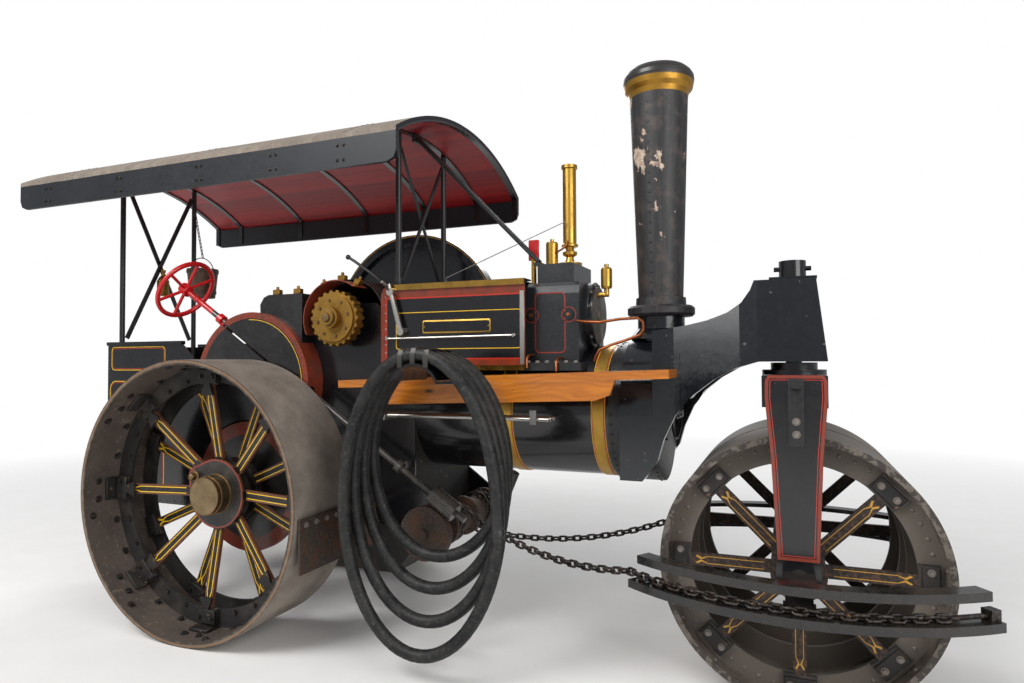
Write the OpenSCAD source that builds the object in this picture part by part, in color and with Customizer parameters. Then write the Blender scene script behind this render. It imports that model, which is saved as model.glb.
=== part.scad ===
// Steam road roller with a canopy, a swan-neck forecarriage and chain steering.
// Millimetres, +X forward, -Y the gear side, +Z up, ground at Z = 0.

/* [Stance] */
// Distance from the rear axle to the steering pivot and front axle
wheelbase = 3350; // [3250:5:3450]
// Rear wheel diameter
rear_wheel_d = 1676; // [1640:2:1700]
// Rear wheel width
rear_wheel_w = 528; // [480:2:560]
// Distance between the middles of the rear wheels
rear_track = 1636; // [1632:2:1700]
// Front roll diameter
front_roll_d = 1296; // [1260:2:1310]
// Width of each half of the front roll
front_roll_w = 535; // [480:1:545]
// Gap between the halves of the front roll
front_roll_gap = 32; // [20:1:60]
// Thickness of the wheel rims
rim_t = 30; // [24:1:40]

/* [Boiler] */
// Diameter of the lagged boiler barrel
barrel_d = 772; // [740:2:790]
// Height of the boiler's centre line
boiler_z = 1358; // [1350:1:1370]
// Front of the firebox, back of the barrel
firebox_front_x = 1180; // [1160:5:1190]
// Back of the firebox
firebox_back_x = 330; // [300:5:380]
// Front end of the barrel
barrel_front_x = 2400; // [2380:5:2420]
// Diameter of the smokebox
smokebox_d = 806; // [796:2:816]
// Front plate of the smokebox
smokebox_front_x = 2655; // [2640:5:2660]
// Radius of the smokebox door
door_r = 235; // [200:5:240]
// Height of the smokebox door's middle
door_z = 1420; // [1415:1:1430]

/* [Chimney] */
// Axis of the chimney
chimney_x = 2628; // [2600:2:2640]
// Top of the chimney cap
chimney_top_z = 3387; // [3250:1:3450]
// Radius of the barrel at its foot
chimney_foot_r = 130; // [120:1:140]
// Radius of the barrel under the cap
chimney_top_r = 170; // [155:1:185]
// Radius of the cap
chimney_cap_r = 208; // [200:1:230]

/* [Forecarriage] */
// Half width of the head casting
head_half_w = 200; // [180:2:220]
// Underside of the head casting
head_bottom_z = 1645; // [1640:1:1650]
// Top of the head casting
head_top_z = 2082; // [2060:1:2110]
// Radius of the king pin
king_r = 42; // [34:1:50]
// Outer face of the fork legs from the middle
fork_half_w = 650; // [640:1:665]
// Thickness of the fork legs
fork_leg_t = 56; // [44:1:64]
// Top of the fork crown
crown_top_z = 1600; // [1590:1:1610]
// Radius of the front axle
front_axle_r = 45; // [38:1:52]
// Height of the upper guide bar
guide_upper_z = 690; // [680:1:720]
// Height of the lower guide bar
guide_lower_z = 555; // [540:1:570]

/* [Engine] */
// Crankshaft position ahead of the rear axle
crank_x = 690; // [680:2:700]
// Crankshaft height
crank_z = 1930; // [1925:1:1940]
// Flywheel diameter
flywheel_d = 1372; // [1300:4:1380]
// Width of the flywheel rim
flywheel_w = 106; // [90:2:108]
// Middle of the flywheel from the machine's middle
flywheel_y = 490; // [488:1:492]
// Back edge of the motion cover's side
cover_back_x = 940; // [930:1:950]
// Front edge of the motion cover's side
cover_front_x = 1915; // [1905:1:1920]
// Bottom edge of the motion cover
cover_bottom_z = 1602; // [1598:1:1612]
// Top of the motion cover
cover_top_z = 2136; // [2120:1:2150]

/* [Body] */
// Outside of the hornplates from the middle
horn_half_w = 385; // [382:1:388]
// Thickness of the plates
plate_t = 12; // [8:1:14]
// Back of the tender
tender_back_x = -1460; // [-1480:5:-1440]
// Top of the tender
tender_top_z = 1786; // [1740:1:1800]
// Underside of the tender
tender_bottom_z = 640; // [600:5:700]
// Level of the footplate
footplate_z = 760; // [740:2:800]

/* [Canopy] */
// Rear edge of the canopy
canopy_back_x = -1735; // [-1800:5:-1700]
// Length of the canopy
canopy_l = 3105; // [3000:5:3120]
// Width of the canopy
canopy_w = 1820; // [1700:10:1900]
// Height of the eaves
eaves_z = 2940; // [2900:2:2980]
// Rise of the roof from the eaves to the ridge
roof_rise = 260; // [220:2:300]
// Depth of the side boards
board_h = 192; // [160:2:220]
// Thickness of the roof
roof_t = 22; // [18:1:28]
// Half distance between the front pillars
front_pillar_y = 307; // [290:1:330]
// Half distance between the rear pillars
rear_pillar_y = 338; // [320:1:350]

/* [Steering] */
// Radius of the hand wheel
hand_wheel_r = 225; // [200:1:240]
// Slope of the steering shaft
steer_slope = 33.4; // [33:0.1:34]
// Distance of the steering shaft from the middle
steer_y = 498; // [494:1:502]
// Radius of the chain drum
drum_r = 92; // [80:1:100]
// Worm wheel radius over its teeth
worm_wheel_r = 160; // [155:1:165]

/* [Hose] */
// Diameter of the suction hose
hose_d = 66; // [60:1:70]

/* [Hidden] */
$fn = 48;

// Overall length, from the canopy's rear edge to the tips of the guide bars
guide_half_l = 795;
guide_tip_x = wheelbase + guide_half_l;
shift_x = -(canopy_back_x + guide_tip_x) / 2;
rear_r = rear_wheel_d / 2;
front_r = front_roll_d / 2;
barrel_r = barrel_d / 2;
smokebox_r = smokebox_d / 2;
run_gap = 0.4;
bore_gap = 0.08;

// Moves a piece from the rear axle's frame to the middle of the machine
module place() { translate([shift_x, 0, 0]) children(); }

// Both sides of the machine
module both_sides() { for (s = [0, 1]) mirror([0, s, 0]) children(); }

// A cylinder across the machine, from y0 to y1
module across(x, z, r, y0, y1) {
    translate([x, y0, z]) rotate([-90, 0, 0]) cylinder(r = r, h = y1 - y0);
}

// A ring across the machine
module ring_across(x, z, r, bore, y0, y1) {
    translate([x, y0, z]) rotate([-90, 0, 0]) difference() {
        cylinder(r = r, h = y1 - y0);
        translate([0, 0, -1]) cylinder(r = bore, h = y1 - y0 + 2);
    }
}

// A cylinder along the machine, from x0 to x1
module along(x0, x1, y, z, r) {
    translate([x0, y, z]) rotate([0, 90, 0]) cylinder(r = r, h = x1 - x0);
}

// A ring along the machine
module ring_along(x0, x1, z, r, bore) {
    translate([x0, 0, z]) rotate([0, 90, 0]) difference() {
        cylinder(r = r, h = x1 - x0);
        translate([0, 0, -1]) cylinder(r = bore, h = x1 - x0 + 2);
    }
}

// A round rod between two points
module rod(p, q, r) {
    d = q - p;
    l = norm(d);
    translate(p) rotate([0, acos(d[2] / l), atan2(d[1], d[0])]) cylinder(r = r, h = l);
}

// A flat bar between two points, w wide and t thick
module flat(p, q, w, t) {
    d = q - p;
    l = norm(d);
    translate(p) rotate([0, acos(d[2] / l), atan2(d[1], d[0])])
        translate([-t / 2, -w / 2, 0]) cube([t, w, l]);
}

// A plate standing along the machine: an outline in X and Z, from y0 to y1
module side_plate(y0, y1) {
    translate([0, y1, 0]) rotate([90, 0, 0]) linear_extrude(height = y1 - y0) children();
}

// Boiler barrel under its lagging
module boiler_barrel() place() color("#17171b")
    along(firebox_front_x, barrel_front_x, 0, boiler_z, barrel_r);

// Brass bands round the barrel, by the back edge of each
band_w = 60;
band_xs = [1760, 2310];
module boiler_bands() place() color("#b3822c")
    for (x = band_xs) ring_along(x, x + band_w, boiler_z, barrel_r + 5, barrel_r + run_gap);

// Firebox with a round top between the hornplates
firebox_bottom_z = 620;
firebox_half_w = horn_half_w - plate_t - 1;
module firebox() place() color("#1b1b1e") {
    translate([firebox_back_x, -firebox_half_w, firebox_bottom_z])
        cube([firebox_front_x - firebox_back_x, 2 * firebox_half_w, boiler_z - firebox_bottom_z]);
    along(firebox_back_x, firebox_front_x, 0, boiler_z, firebox_half_w);
}

// Ash pan under the firebox, with its damper door at the back
ash_pan_z = 330;
module ash_pan() place() color("#2a211d")
    side_plate(-firebox_half_w + 20, firebox_half_w - 20)
        polygon([[firebox_back_x + 60, ash_pan_z + 90], [firebox_back_x + 120, ash_pan_z],
                 [firebox_front_x - 160, ash_pan_z], [firebox_front_x - 60, ash_pan_z + 130],
                 [firebox_front_x - 30, firebox_bottom_z], [firebox_back_x + 30, firebox_bottom_z]]);

// Smokebox: a drum, open inside, with a front plate that the door closes
smokebox_wall = 14;
module smokebox() place() color("#141416") {
    difference() {
        along(barrel_front_x, smokebox_front_x, 0, boiler_z, smokebox_r);
        along(barrel_front_x + smokebox_wall, smokebox_front_x - smokebox_wall, 0, boiler_z,
              smokebox_r - smokebox_wall);
        along(smokebox_front_x - 2 * smokebox_wall, smokebox_front_x + 1, 0, door_z, door_r - 30);
    }
}

// Smokebox door: a dished round plate with its strap hinges and dart handle
door_hinge_y = door_r + 22;
module smokebox_door() place() color("#19191c") {
    along(smokebox_front_x + run_gap, smokebox_front_x + 17, 0, door_z, door_r);
    along(smokebox_front_x + 17, smokebox_front_x + 29, 0, door_z, door_r * 0.72);
    along(smokebox_front_x + 29, smokebox_front_x + 62, 0, door_z, 18);
    translate([smokebox_front_x + 52, -7, door_z - 70]) cube([12, 14, 140]);
    for (z = [-75, 75]) {
        translate([smokebox_front_x + 17, 20, door_z + z - 16]) cube([9, door_hinge_y - 20, 32]);
        translate([smokebox_front_x + 15, door_hinge_y, door_z + z - 26]) cylinder(r = 13, h = 52);
    }
}

// Chimney: riveted barrel on a round flange
chimney_flange_z = 1912;
chimney_bore = 28;
cap_z = chimney_top_z - 177;
module chimney() place() color("#2b2a2c")
    translate([chimney_x, 0, 0]) rotate_extrude()
        polygon([[chimney_foot_r - chimney_bore, chimney_flange_z],
                 [chimney_foot_r + 52, chimney_flange_z], [chimney_foot_r + 65, chimney_flange_z + 14],
                 [chimney_foot_r + 65, chimney_flange_z + 48], [chimney_foot_r + 50, chimney_flange_z + 62],
                 [chimney_foot_r + 16, chimney_flange_z + 66], [chimney_foot_r + 14, chimney_flange_z + 110],
                 [chimney_foot_r, chimney_flange_z + 112], [chimney_top_r, cap_z],
                 [chimney_top_r - chimney_bore, cap_z]]);

// Chimney cap: a flared brass band under a rolled black top
module chimney_cap() place() color("#b3822c")
    translate([chimney_x, 0, cap_z]) rotate_extrude()
        polygon([[chimney_top_r - chimney_bore, 0], [chimney_top_r, 0], [chimney_top_r + 8, 30],
                 [chimney_cap_r - 10, 52], [chimney_cap_r - 4, 78], [chimney_cap_r, 100],
                 [chimney_cap_r - 2, 122], [chimney_cap_r - 16, 146], [chimney_cap_r - 38, 166],
                 [chimney_cap_r - 66, chimney_top_z - cap_z], [chimney_cap_r - 84, chimney_top_z - cap_z - 12],
                 [chimney_cap_r - 80, 110], [chimney_top_r - chimney_bore, 50]]);

// Swan-neck casting: a saddle round the smokebox that runs forward and up to the steering head
neck_r = chimney_foot_r + 6;
saddle_back_x = 2470;
head_x0 = wheelbase - 180;
head_x1 = wheelbase + 112;
neck_l = 515;
function neck_x(back) = head_x0 - back * (head_x0 - smokebox_front_x) / neck_l;
module neck_outline()
    polygon([[saddle_back_x, 1010], [2590, 1010], [2640, 1075], [neck_x(498), 1120], [neck_x(465), 1235],
             [neck_x(405), 1365], [neck_x(320), 1470], [neck_x(220), 1550], [neck_x(110), 1612],
             [head_x0, head_bottom_z], [head_x1 + 50, head_bottom_z], [head_x1, head_top_z],
             [neck_x(14), head_top_z], [neck_x(34), 2030], [neck_x(80), 1962], [neck_x(150), 1910],
             [neck_x(250), 1868], [neck_x(360), 1838], [neck_x(470), 1818], [saddle_back_x, 1790]]);
saddle_half_w = smokebox_r + 26;
neck_hollow_w = 205;
module neck_plan()
    polygon([[saddle_back_x, -saddle_half_w], [neck_x(480), -saddle_half_w], [neck_x(410), -saddle_half_w + 22],
             [neck_x(300), -330], [neck_x(190), -265], [neck_x(90), -222], [head_x0, -head_half_w],
             [head_x1 + 50, -head_half_w], [head_x1 + 50, head_half_w], [head_x0, head_half_w],
             [neck_x(90), 222], [neck_x(190), 265], [neck_x(300), 330], [neck_x(410), saddle_half_w - 22],
             [neck_x(480), saddle_half_w], [saddle_back_x, saddle_half_w]]);
module saddle_casting() place() color("#1c2024")
    difference() {
        union() {
            intersection() {
                side_plate(-saddle_half_w, saddle_half_w) neck_outline();
                translate([0, 0, 900]) linear_extrude(height = 1400) neck_plan();
                union() {
                    along(saddle_back_x - 1, 2700, 0, boiler_z, smokebox_r + 26);
                    translate([2650, -saddle_half_w, 1000]) cube([1000, 2 * saddle_half_w, 1200]);
                    translate([saddle_back_x - 1, -saddle_half_w, 1000]) cube([300, 2 * saddle_half_w, 360]);
                }
            }
            translate([chimney_x, 0, boiler_z]) cylinder(r = neck_r, h = chimney_flange_z - boiler_z);
            translate([chimney_x, 0, 1780]) cylinder(r1 = neck_r + 50, r2 = neck_r, h = 60);
        }
        along(saddle_back_x - 20, smokebox_front_x + 1, 0, boiler_z, smokebox_r + run_gap);
        translate([smokebox_front_x - 1, -smokebox_r + 24, 900]) cube([180, 2 * smokebox_r - 48, 790]);
        side_plate(-neck_hollow_w, neck_hollow_w)
            polygon([[smokebox_front_x - 1, 900], [smokebox_front_x - 1, 1700], [neck_x(270), 1700],
                     [neck_x(130), 1630], [neck_x(130), 900]]);
        translate([wheelbase, 0, head_bottom_z - 1]) cylinder(r = king_r + bore_gap, h = 600);
    }

// Cylinder block on its saddle, with the valve chest, the end cover and the side covers
block_x0 = 1870;
block_x1 = 2205;
block_half_w = 282;
end_cover_r = 198;
block_seat_w = horn_half_w;
module cylinder_block() place() color("#26282b")
    difference() {
        union() {
            translate([block_x0, 0, 0]) rotate([90, 0, 90]) linear_extrude(height = block_x1 - block_x0)
                polygon([[-block_half_w, 1640], [-block_half_w, 2050], [-block_half_w + 22, 2096],
                         [-block_half_w + 70, 2122], [block_half_w - 70, 2122], [block_half_w - 22, 2096],
                         [block_half_w, 2050], [block_half_w, 1640]]);
            translate([block_x0 + 50, -190, 2100]) cube([230, 380, 140]);
            along(block_x1 - 5, block_x1 + 30, 0, crank_z, end_cover_r + 6);
            along(block_x1 + 30, block_x1 + 48, 0, crank_z, end_cover_r - 22);
            for (s = [-1, 1], x = [block_x0 + 45, block_x1 - 60])
                across(x, 1925, 26, min(s * block_half_w, s * (block_half_w + 14)),
                       max(s * block_half_w, s * (block_half_w + 14)));
            translate([block_x0 - 40, -block_seat_w, 1600]) cube([block_x1 - block_x0 + 80, 2 * block_seat_w, 46]);
        }
        along(block_x0 - 100, block_x1 + 100, 0, boiler_z, barrel_r + run_gap);
    }

// Brasses on the block: the tall safety valve tube, the pot, the whistle column and the lubricator
module cylinder_brasses() place() color("#a9823f") {
    translate([2068, 0, 2240]) rotate_extrude()
        polygon([[0, 0], [75, 0], [75, 22], [30, 30], [22, 60], [44, 74], [46, 92], [24, 104], [32, 122],
                 [52, 126], [52, 138], [42, 146], [42, 610], [50, 616], [50, 636], [36, 640], [0, 640]]);
    translate([1957, -20, 2240]) rotate_extrude()
        polygon([[0, 0], [38, 0], [38, 150], [34, 158], [12, 160], [12, 178], [0, 182]]);
    translate([block_x1 + 105, -40, 2090]) rotate_extrude()
        polygon([[0, 0], [30, 0], [34, 12], [34, 116], [28, 126], [14, 130], [14, 148], [0, 150]]);
    rod([block_x1 + 105, -40, 2050], [block_x1 + 105, -40, 2091], 16);
    rod([block_x1 + 48 + run_gap, -40, 2054], [block_x1 + 118, -40, 2054], 15);
    translate([1850, -60, cover_top_z + run_gap]) cylinder(r = 16, h = 184);
}

// Chain drum position and shaft
drum_x = 1320;
drum_z = 641;
drum_shaft_r = 32;

// Side frames of the engine, with the bearings of the crankshaft and the rear axle
axle_z = rear_r;
axle_r = 62;
crank_r = 46;
horn_back_x = -430;
module horn_outline()
    polygon([[horn_back_x, 640], [horn_back_x, 1290], [-300, 1400], [-120, 1560], [430, 1850], [500, 2030], [900, 2030],
             [985, 1960], [985, 1660], [firebox_front_x, 1640], [firebox_front_x, 900],
             [drum_x + 90, drum_z + 90], [drum_x + 90, drum_z - 60], [drum_x + 60, drum_z - 90],
             [firebox_front_x - 60, drum_z - 90], [firebox_front_x - 90, 640]]);
module hornplates() place() color("#141417")
    both_sides() difference() {
        union() {
            side_plate(-horn_half_w, -horn_half_w + plate_t) horn_outline();
            across(crank_x, crank_z, 96, -horn_half_w - 38, -horn_half_w + 1);
            across(0, axle_z, 140, -horn_half_w - 42, -horn_half_w + 1);
        }
        across(crank_x, crank_z, crank_r + bore_gap, -500, -300);
        across(0, axle_z, axle_r + bore_gap, -500, -300);
        across(drum_x, drum_z, drum_shaft_r + bore_gap, -500, -300);
    }

// Motion cover between the crank guard and the cylinder: side sheets, top and mouldings
sheet_t = 8;
cover_half_w = horn_half_w + run_gap + sheet_t;
module cover_outline()
    polygon([[cover_back_x, cover_bottom_z], [cover_back_x, cover_top_z - 60], [cover_back_x + 18, cover_top_z - 20],
             [cover_back_x + 60, cover_top_z], [cover_front_x, cover_top_z], [cover_front_x, cover_bottom_z]]);
module motion_cover() place() color("#121214") {
    both_sides() {
        side_plate(-cover_half_w, -cover_half_w + sheet_t) cover_outline();
        translate([cover_back_x + 50, -cover_half_w - 14, cover_top_z - 36])
            cube([cover_front_x - cover_back_x - 50, 16, 36]);
        translate([cover_back_x, -cover_half_w - 14, cover_bottom_z])
            cube([cover_front_x - cover_back_x, 16, 30]);
    }
    difference() {
        translate([cover_back_x + 60, -cover_half_w, cover_top_z - sheet_t])
            cube([cover_front_x - cover_back_x - 60, 2 * cover_half_w, sheet_t]);
        translate([block_x0 - 6, -block_half_w - 6, cover_top_z - 60])
            cube([cover_front_x - block_x0 + 20, 2 * block_half_w + 12, 120]);
    }
}

// Crank splasher between the frames, and the guard round the crank pinion outside them
splash_r = 262;
module crank_guard() place() color("#1a1a1d") {
    translate([crank_x, horn_half_w - plate_t - run_gap, crank_z]) rotate([90, 0, 0])
        rotate_extrude(angle = 150) translate([splash_r - 6, 0]) square([6, 2 * (horn_half_w - plate_t - run_gap)]);
    translate([crank_x, -horn_half_w - 0.3, crank_z]) rotate([90, -55, 0])
        rotate_extrude(angle = 150) translate([236, 0]) square([6, 150]);
}

// Cover of the intermediate gears, outside the near frame
module gear_cover() place() color("#1d1e21")
    side_plate(-horn_half_w - 108, -horn_half_w - 0.3)
        polygon([[70, 1760], [60, 2040], [90, 2085], [130, 2102], [405, 2102], [405, 1760]]);

// Round guard over the final drive pinion, with its rivetted rim
guard_x = 20;
guard_z = 1520;
guard_r = 468;
module final_drive_guard() place() color("#1a1a1d")
    difference() {
        union() {
            ring_across(guard_x, guard_z, guard_r, guard_r - 12, -gear_face_y - 1, -horn_half_w - 0.3);
            across(guard_x, guard_z, guard_r - 1, -gear_face_y - 1, -gear_face_y + 7);
        }
        translate([-600, -600, 900]) cube([1200, 300, 190]);
        across(0, axle_z, final_gear_r + 10, -600, -300);
        translate([guard_x - 15, -horn_half_w - 110, 1755]) cube([403, 115, 360]);
        steering_line(40, 2600);
    }

// Points on the steering shaft: distance s along it from the hand wheel
wheel_x = -600;
wheel_z = 2168;
module steering_line(r, l)
    translate([wheel_x, -steer_y, wheel_z]) rotate([0, 90 + steer_slope, 0])
        translate([0, 0, -50]) cylinder(r = r, h = l);

// Tender: the water tank under the footplate and the bunker behind
tender_half_w = 432;
tender_front_x = horn_back_x - run_gap;
module tender_outline()
    polygon([[tender_back_x, tender_bottom_z], [tender_back_x, tender_top_z], [-700, tender_top_z],
             [-600, 1700], [-560, 1560], [-520, 1340], [tender_front_x, 1290], [tender_front_x, tender_bottom_z]]);
module tender() place() color("#15161a") {
    both_sides() side_plate(-tender_half_w, -tender_half_w + sheet_t) tender_outline();
    both_sides() side_plate(-tender_half_w - 14, -tender_half_w + 22)
        polygon([[tender_back_x, tender_top_z], [tender_back_x, tender_top_z + 26], [-700, tender_top_z + 26],
                 [-700, tender_top_z]]);
    translate([tender_back_x, -tender_half_w, tender_bottom_z])
        cube([sheet_t, 2 * tender_half_w, tender_top_z - tender_bottom_z]);
    translate([tender_back_x, -tender_half_w + 4, tender_bottom_z])
        cube([tender_front_x - tender_back_x, 2 * tender_half_w - 8, footplate_z - tender_bottom_z]);
    translate([-980, -tender_half_w + 4, footplate_z - 2])
        cube([sheet_t, 2 * tender_half_w - 8, 700]);
}

// Drawbar bracket at the back of the tender, bored for the pin
drawbar_z = 700;
drawbar_bore = 22;
module drawbar() place() color("#202023")
    difference() {
        union() {
            translate([tender_back_x - 14, -150, drawbar_z - 70]) cube([14, 300, 140]);
            for (z = [-44, 20]) translate([tender_back_x - 110, -60, drawbar_z + z]) cube([100, 120, 24]);
            for (z = [-44, 20]) translate([tender_back_x - 110, 0, drawbar_z + z]) cylinder(r = 60, h = 24);
        }
        translate([tender_back_x - 110, 0, drawbar_z - 100]) cylinder(r = drawbar_bore, h = 200);
    }

// Handles, gauge and pipes at the driver's place
module controls() place() color("#4a4038") {
    rod([firebox_back_x - 60, 0, 1560], [firebox_back_x - run_gap, 0, 1560], 20);
    rod([firebox_back_x - 50, -150, 1640], [firebox_back_x - 50, 150, 1480], 11);
    rod([firebox_back_x - 35, -185, 1200], [firebox_back_x - 35, -185, 1500], 12);
    for (z = [1220, 1480]) rod([firebox_back_x - 50, -185, z], [firebox_back_x - run_gap, -185, z], 14);
    along(firebox_back_x - 14, firebox_back_x - run_gap, 30, 1060, 130);
    along(firebox_back_x - 26, firebox_back_x - 13, 30, 1060, 100);
}

// Canopy roof: an arched sheet of boards under felt
canopy_front_x = canopy_back_x + canopy_l;
canopy_half_w = canopy_w / 2;
arch_r = (canopy_half_w * canopy_half_w + roof_rise * roof_rise) / (2 * roof_rise);
arch_z = eaves_z + roof_rise - arch_r;
module arch_slab(x0, x1, r_out, r_in, half_w)
    intersection() {
        translate([0, 0, arch_z]) rotate([0, 90, 0]) translate([0, 0, x0]) difference() {
            cylinder(r = r_out, h = x1 - x0, $fn = 360);
            translate([0, 0, -1]) cylinder(r = r_in, h = x1 - x0 + 2, $fn = 360);
        }
        translate([x0 - 1, -half_w, eaves_z - 60]) cube([x1 - x0 + 2, 2 * half_w, roof_rise + 90]);
    }
module canopy_roof() place() color("#8f8377")
    arch_slab(canopy_back_x, canopy_front_x, arch_r, arch_r - roof_t, canopy_half_w);

// Side boards of the canopy, with rounded lower corners
board_t = 22;
board_top_z = arch_z + sqrt(pow(arch_r - roof_t, 2) - canopy_half_w * canopy_half_w) - run_gap;
module board_outline()
    polygon([[canopy_back_x, eaves_z], [canopy_back_x, eaves_z - board_h + 60],
             [canopy_back_x + 18, eaves_z - board_h + 18], [canopy_back_x + 60, eaves_z - board_h],
             [canopy_front_x - 60, eaves_z - board_h], [canopy_front_x - 18, eaves_z - board_h + 18],
             [canopy_front_x, eaves_z - board_h + 60], [canopy_front_x, eaves_z]]);
module canopy_boards() place() color("#1d222b")
    both_sides() side_plate(-canopy_half_w, -canopy_half_w + board_t) difference() {
        board_outline();
        translate([canopy_back_x - 1, board_top_z]) square([canopy_l + 2, roof_rise]);
    }

// Arched hoops that carry the roof
pillar_r = 19;
rear_pillar_x = tender_back_x + 8 + pillar_r + run_gap;
front_pillar_x = 1017;
hoop_w = 40;
hoop_xs = [canopy_back_x + 2, rear_pillar_x - hoop_w / 2, -760, -60, 520, front_pillar_x - hoop_w / 2,
           canopy_front_x - hoop_w - 2];
hoop_t = 10;
hoop_r = arch_r - roof_t - run_gap;
module canopy_hoops() place() color("#131315")
    for (x = hoop_xs) {
        arch_slab(x, x + hoop_w, hoop_r, hoop_r - hoop_t, canopy_half_w - board_t - run_gap);
        both_sides() translate([x, -canopy_half_w + board_t + run_gap, eaves_z - board_h + 20])
            cube([hoop_w, hoop_t, board_h - 36]);
    }

// Pillars from the tender and the motion cover up to the hoops
function roof_under(y) = arch_z + sqrt(pow(hoop_r - hoop_t, 2) - y * y);
module pillar(x, y, z0) {
    translate([x, y, z0]) cylinder(r = pillar_r, h = roof_under(y + pillar_r) - run_gap - z0);
    translate([x - 34, y - 30, z0]) cube([68, 60, 12]);
}
module canopy_pillars() place() color("#131315")
    both_sides() {
        pillar(front_pillar_x, front_pillar_y, cover_top_z + run_gap);
        translate([rear_pillar_x, rear_pillar_y, footplate_z + run_gap])
            cylinder(r = pillar_r, h = roof_under(rear_pillar_y + pillar_r) - 2 * run_gap - footplate_z);
    }

// Crossed braces between the pillars, and the stay down to the cylinder block
module brace_pair(x, pillar_y, z0, z1, w) {
    lean = atan2(2 * pillar_y, z1 - z0);
    y = pillar_y - pillar_r - run_gap - w / 2 * cos(lean);
    for (s = [-1, 1]) flat([x + s * 8, -s * y, z0], [x + s * 8, s * y, z1], 10, w);
}
stay_ys = [-150, -112];
module canopy_braces() place() color("#131315") {
    brace_pair(rear_pillar_x, rear_pillar_y, tender_top_z + 60, 3060, 34);
    brace_pair(front_pillar_x, front_pillar_y, cover_top_z + 40, 3060, 26);
    for (y = stay_ys) rod([front_pillar_x + 34, y, roof_under(abs(y)) - 20], [1912, y, 2262], 12);
    translate([front_pillar_x + hoop_w / 2 + run_gap, stay_ys[0] - 22, roof_under(stay_ys[0] - 22) - 50])
        cube([24, stay_ys[1] - stay_ys[0] + 44, 58]);
    translate([1886, stay_ys[0] - 22, 2240 + run_gap]) cube([46, stay_ys[1] - stay_ys[0] + 44, 16]);
}

// Varnished side board on its brackets along the boiler
board_y = 700;
plank_x0 = 840;
plank_x1 = 2780;
plank_z = 1546;
plank_rise = 1.9;
module side_board() place() color("#b4691c")
    translate([plank_x0, 0, plank_z]) rotate([0, -plank_rise, 0]) {
        translate([0, -board_y, -44]) cube([plank_x1 - plank_x0, 270, 44]);
        translate([0, -board_y + 30, 0]) rotate([90, 0, 0]) linear_extrude(height = 28)
            polygon([[170, -45], [150, -80], [170, -130], [230, -146], [1560, -146], [1640, -120],
                     [1670, -45]]);
    }

// Long rods and irons carried under the side board, on two brackets
module tool_rods() place() color("#3a322d") {
    for (y = [-560, -620, -664]) rod([980, y, 1345.3], [2150, y, 1345.3], 11);
    for (x = [1120, 2050]) {
        translate([x, -690, 1320]) cube([36, 690 - barrel_r + run_gap, 14]);
        translate([x, -690, 1334]) cube([36, 12, 60]);
    }
}

// Rear axle
rear_axle_l = rear_track + 76;
module rear_axle() place() color("#3b3a39")
    across(0, axle_z, axle_r, -rear_axle_l / 2, rear_axle_l / 2);

// Spring scrapers in front of the rear wheels
scraper_x = rear_r + 8;
module rear_scrapers() place() color("#4c4641")
    both_sides() {
        translate([scraper_x, -1060, 500]) cube([12, 466, 300]);
        side_plate(-606, -594) polygon([[scraper_x + 6, 790], [scraper_x + 6, 510], [1090, 600], [1030, 800]]);
        across(930, 770, 20, -660, -horn_half_w - run_gap);
        across(930, 770, 40, -650, -618);
    }

// Brackets on the near frame that carry the steering shaft
module shaft_bracket(d) {
    x = wheel_x + d * cos(steer_slope);
    z = wheel_z - d * sin(steer_slope);
    difference() {
        union() {
            translate([x, -steer_y, z]) rotate([0, 90 + steer_slope, 0]) translate([0, 0, -20])
                cylinder(r = 36, h = 40);
            translate([x - 16, -steer_y, z - 20]) cube([32, steer_y - horn_half_w - run_gap, 40]);
        }
        steering_line(shaft_r + bore_gap, 3000);
    }
}
module shaft_collar(d) {
    x = wheel_x + d * cos(steer_slope) - guard_x;
    z = wheel_z - d * sin(steer_slope) - guard_z;
    difference() {
        union() {
            translate([x + guard_x, -steer_y, z + guard_z]) rotate([0, 90 + steer_slope, 0])
                translate([0, 0, -20]) cylinder(r = 34, h = 40);
            translate([guard_x, -steer_y, guard_z]) rotate([0, -atan2(z, x), 0])
                translate([guard_r + run_gap, -18, -20]) cube([norm([x, z]) - guard_r - run_gap, 36, 40]);
        }
        steering_line(shaft_r + bore_gap, 3000);
    }
}
module steering_bearers() place() color("#8c1b16") {
    shaft_collar(395);
    shaft_bracket(2080);
}

// Arched saddle that the hose hangs over
saddle_x = 1560;
saddle_top_z = 1648;
saddle_r = 150;
saddle_t = 14;
module hose_saddle() place() color("#101012") {
    translate([saddle_x, -board_y - run_gap, saddle_top_z - saddle_r]) rotate([90, 0, 0])
        rotate([0, 0, 25]) rotate_extrude(angle = 130) translate([saddle_r - saddle_t, 0]) square([saddle_t, 360]);
    side_plate(-board_y - 16, -board_y - run_gap)
        polygon([[saddle_x - 60, 1530], [saddle_x - 60, saddle_top_z - 20], [saddle_x + 60, saddle_top_z - 20],
                 [saddle_x + 60, 1530]]);
}

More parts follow.
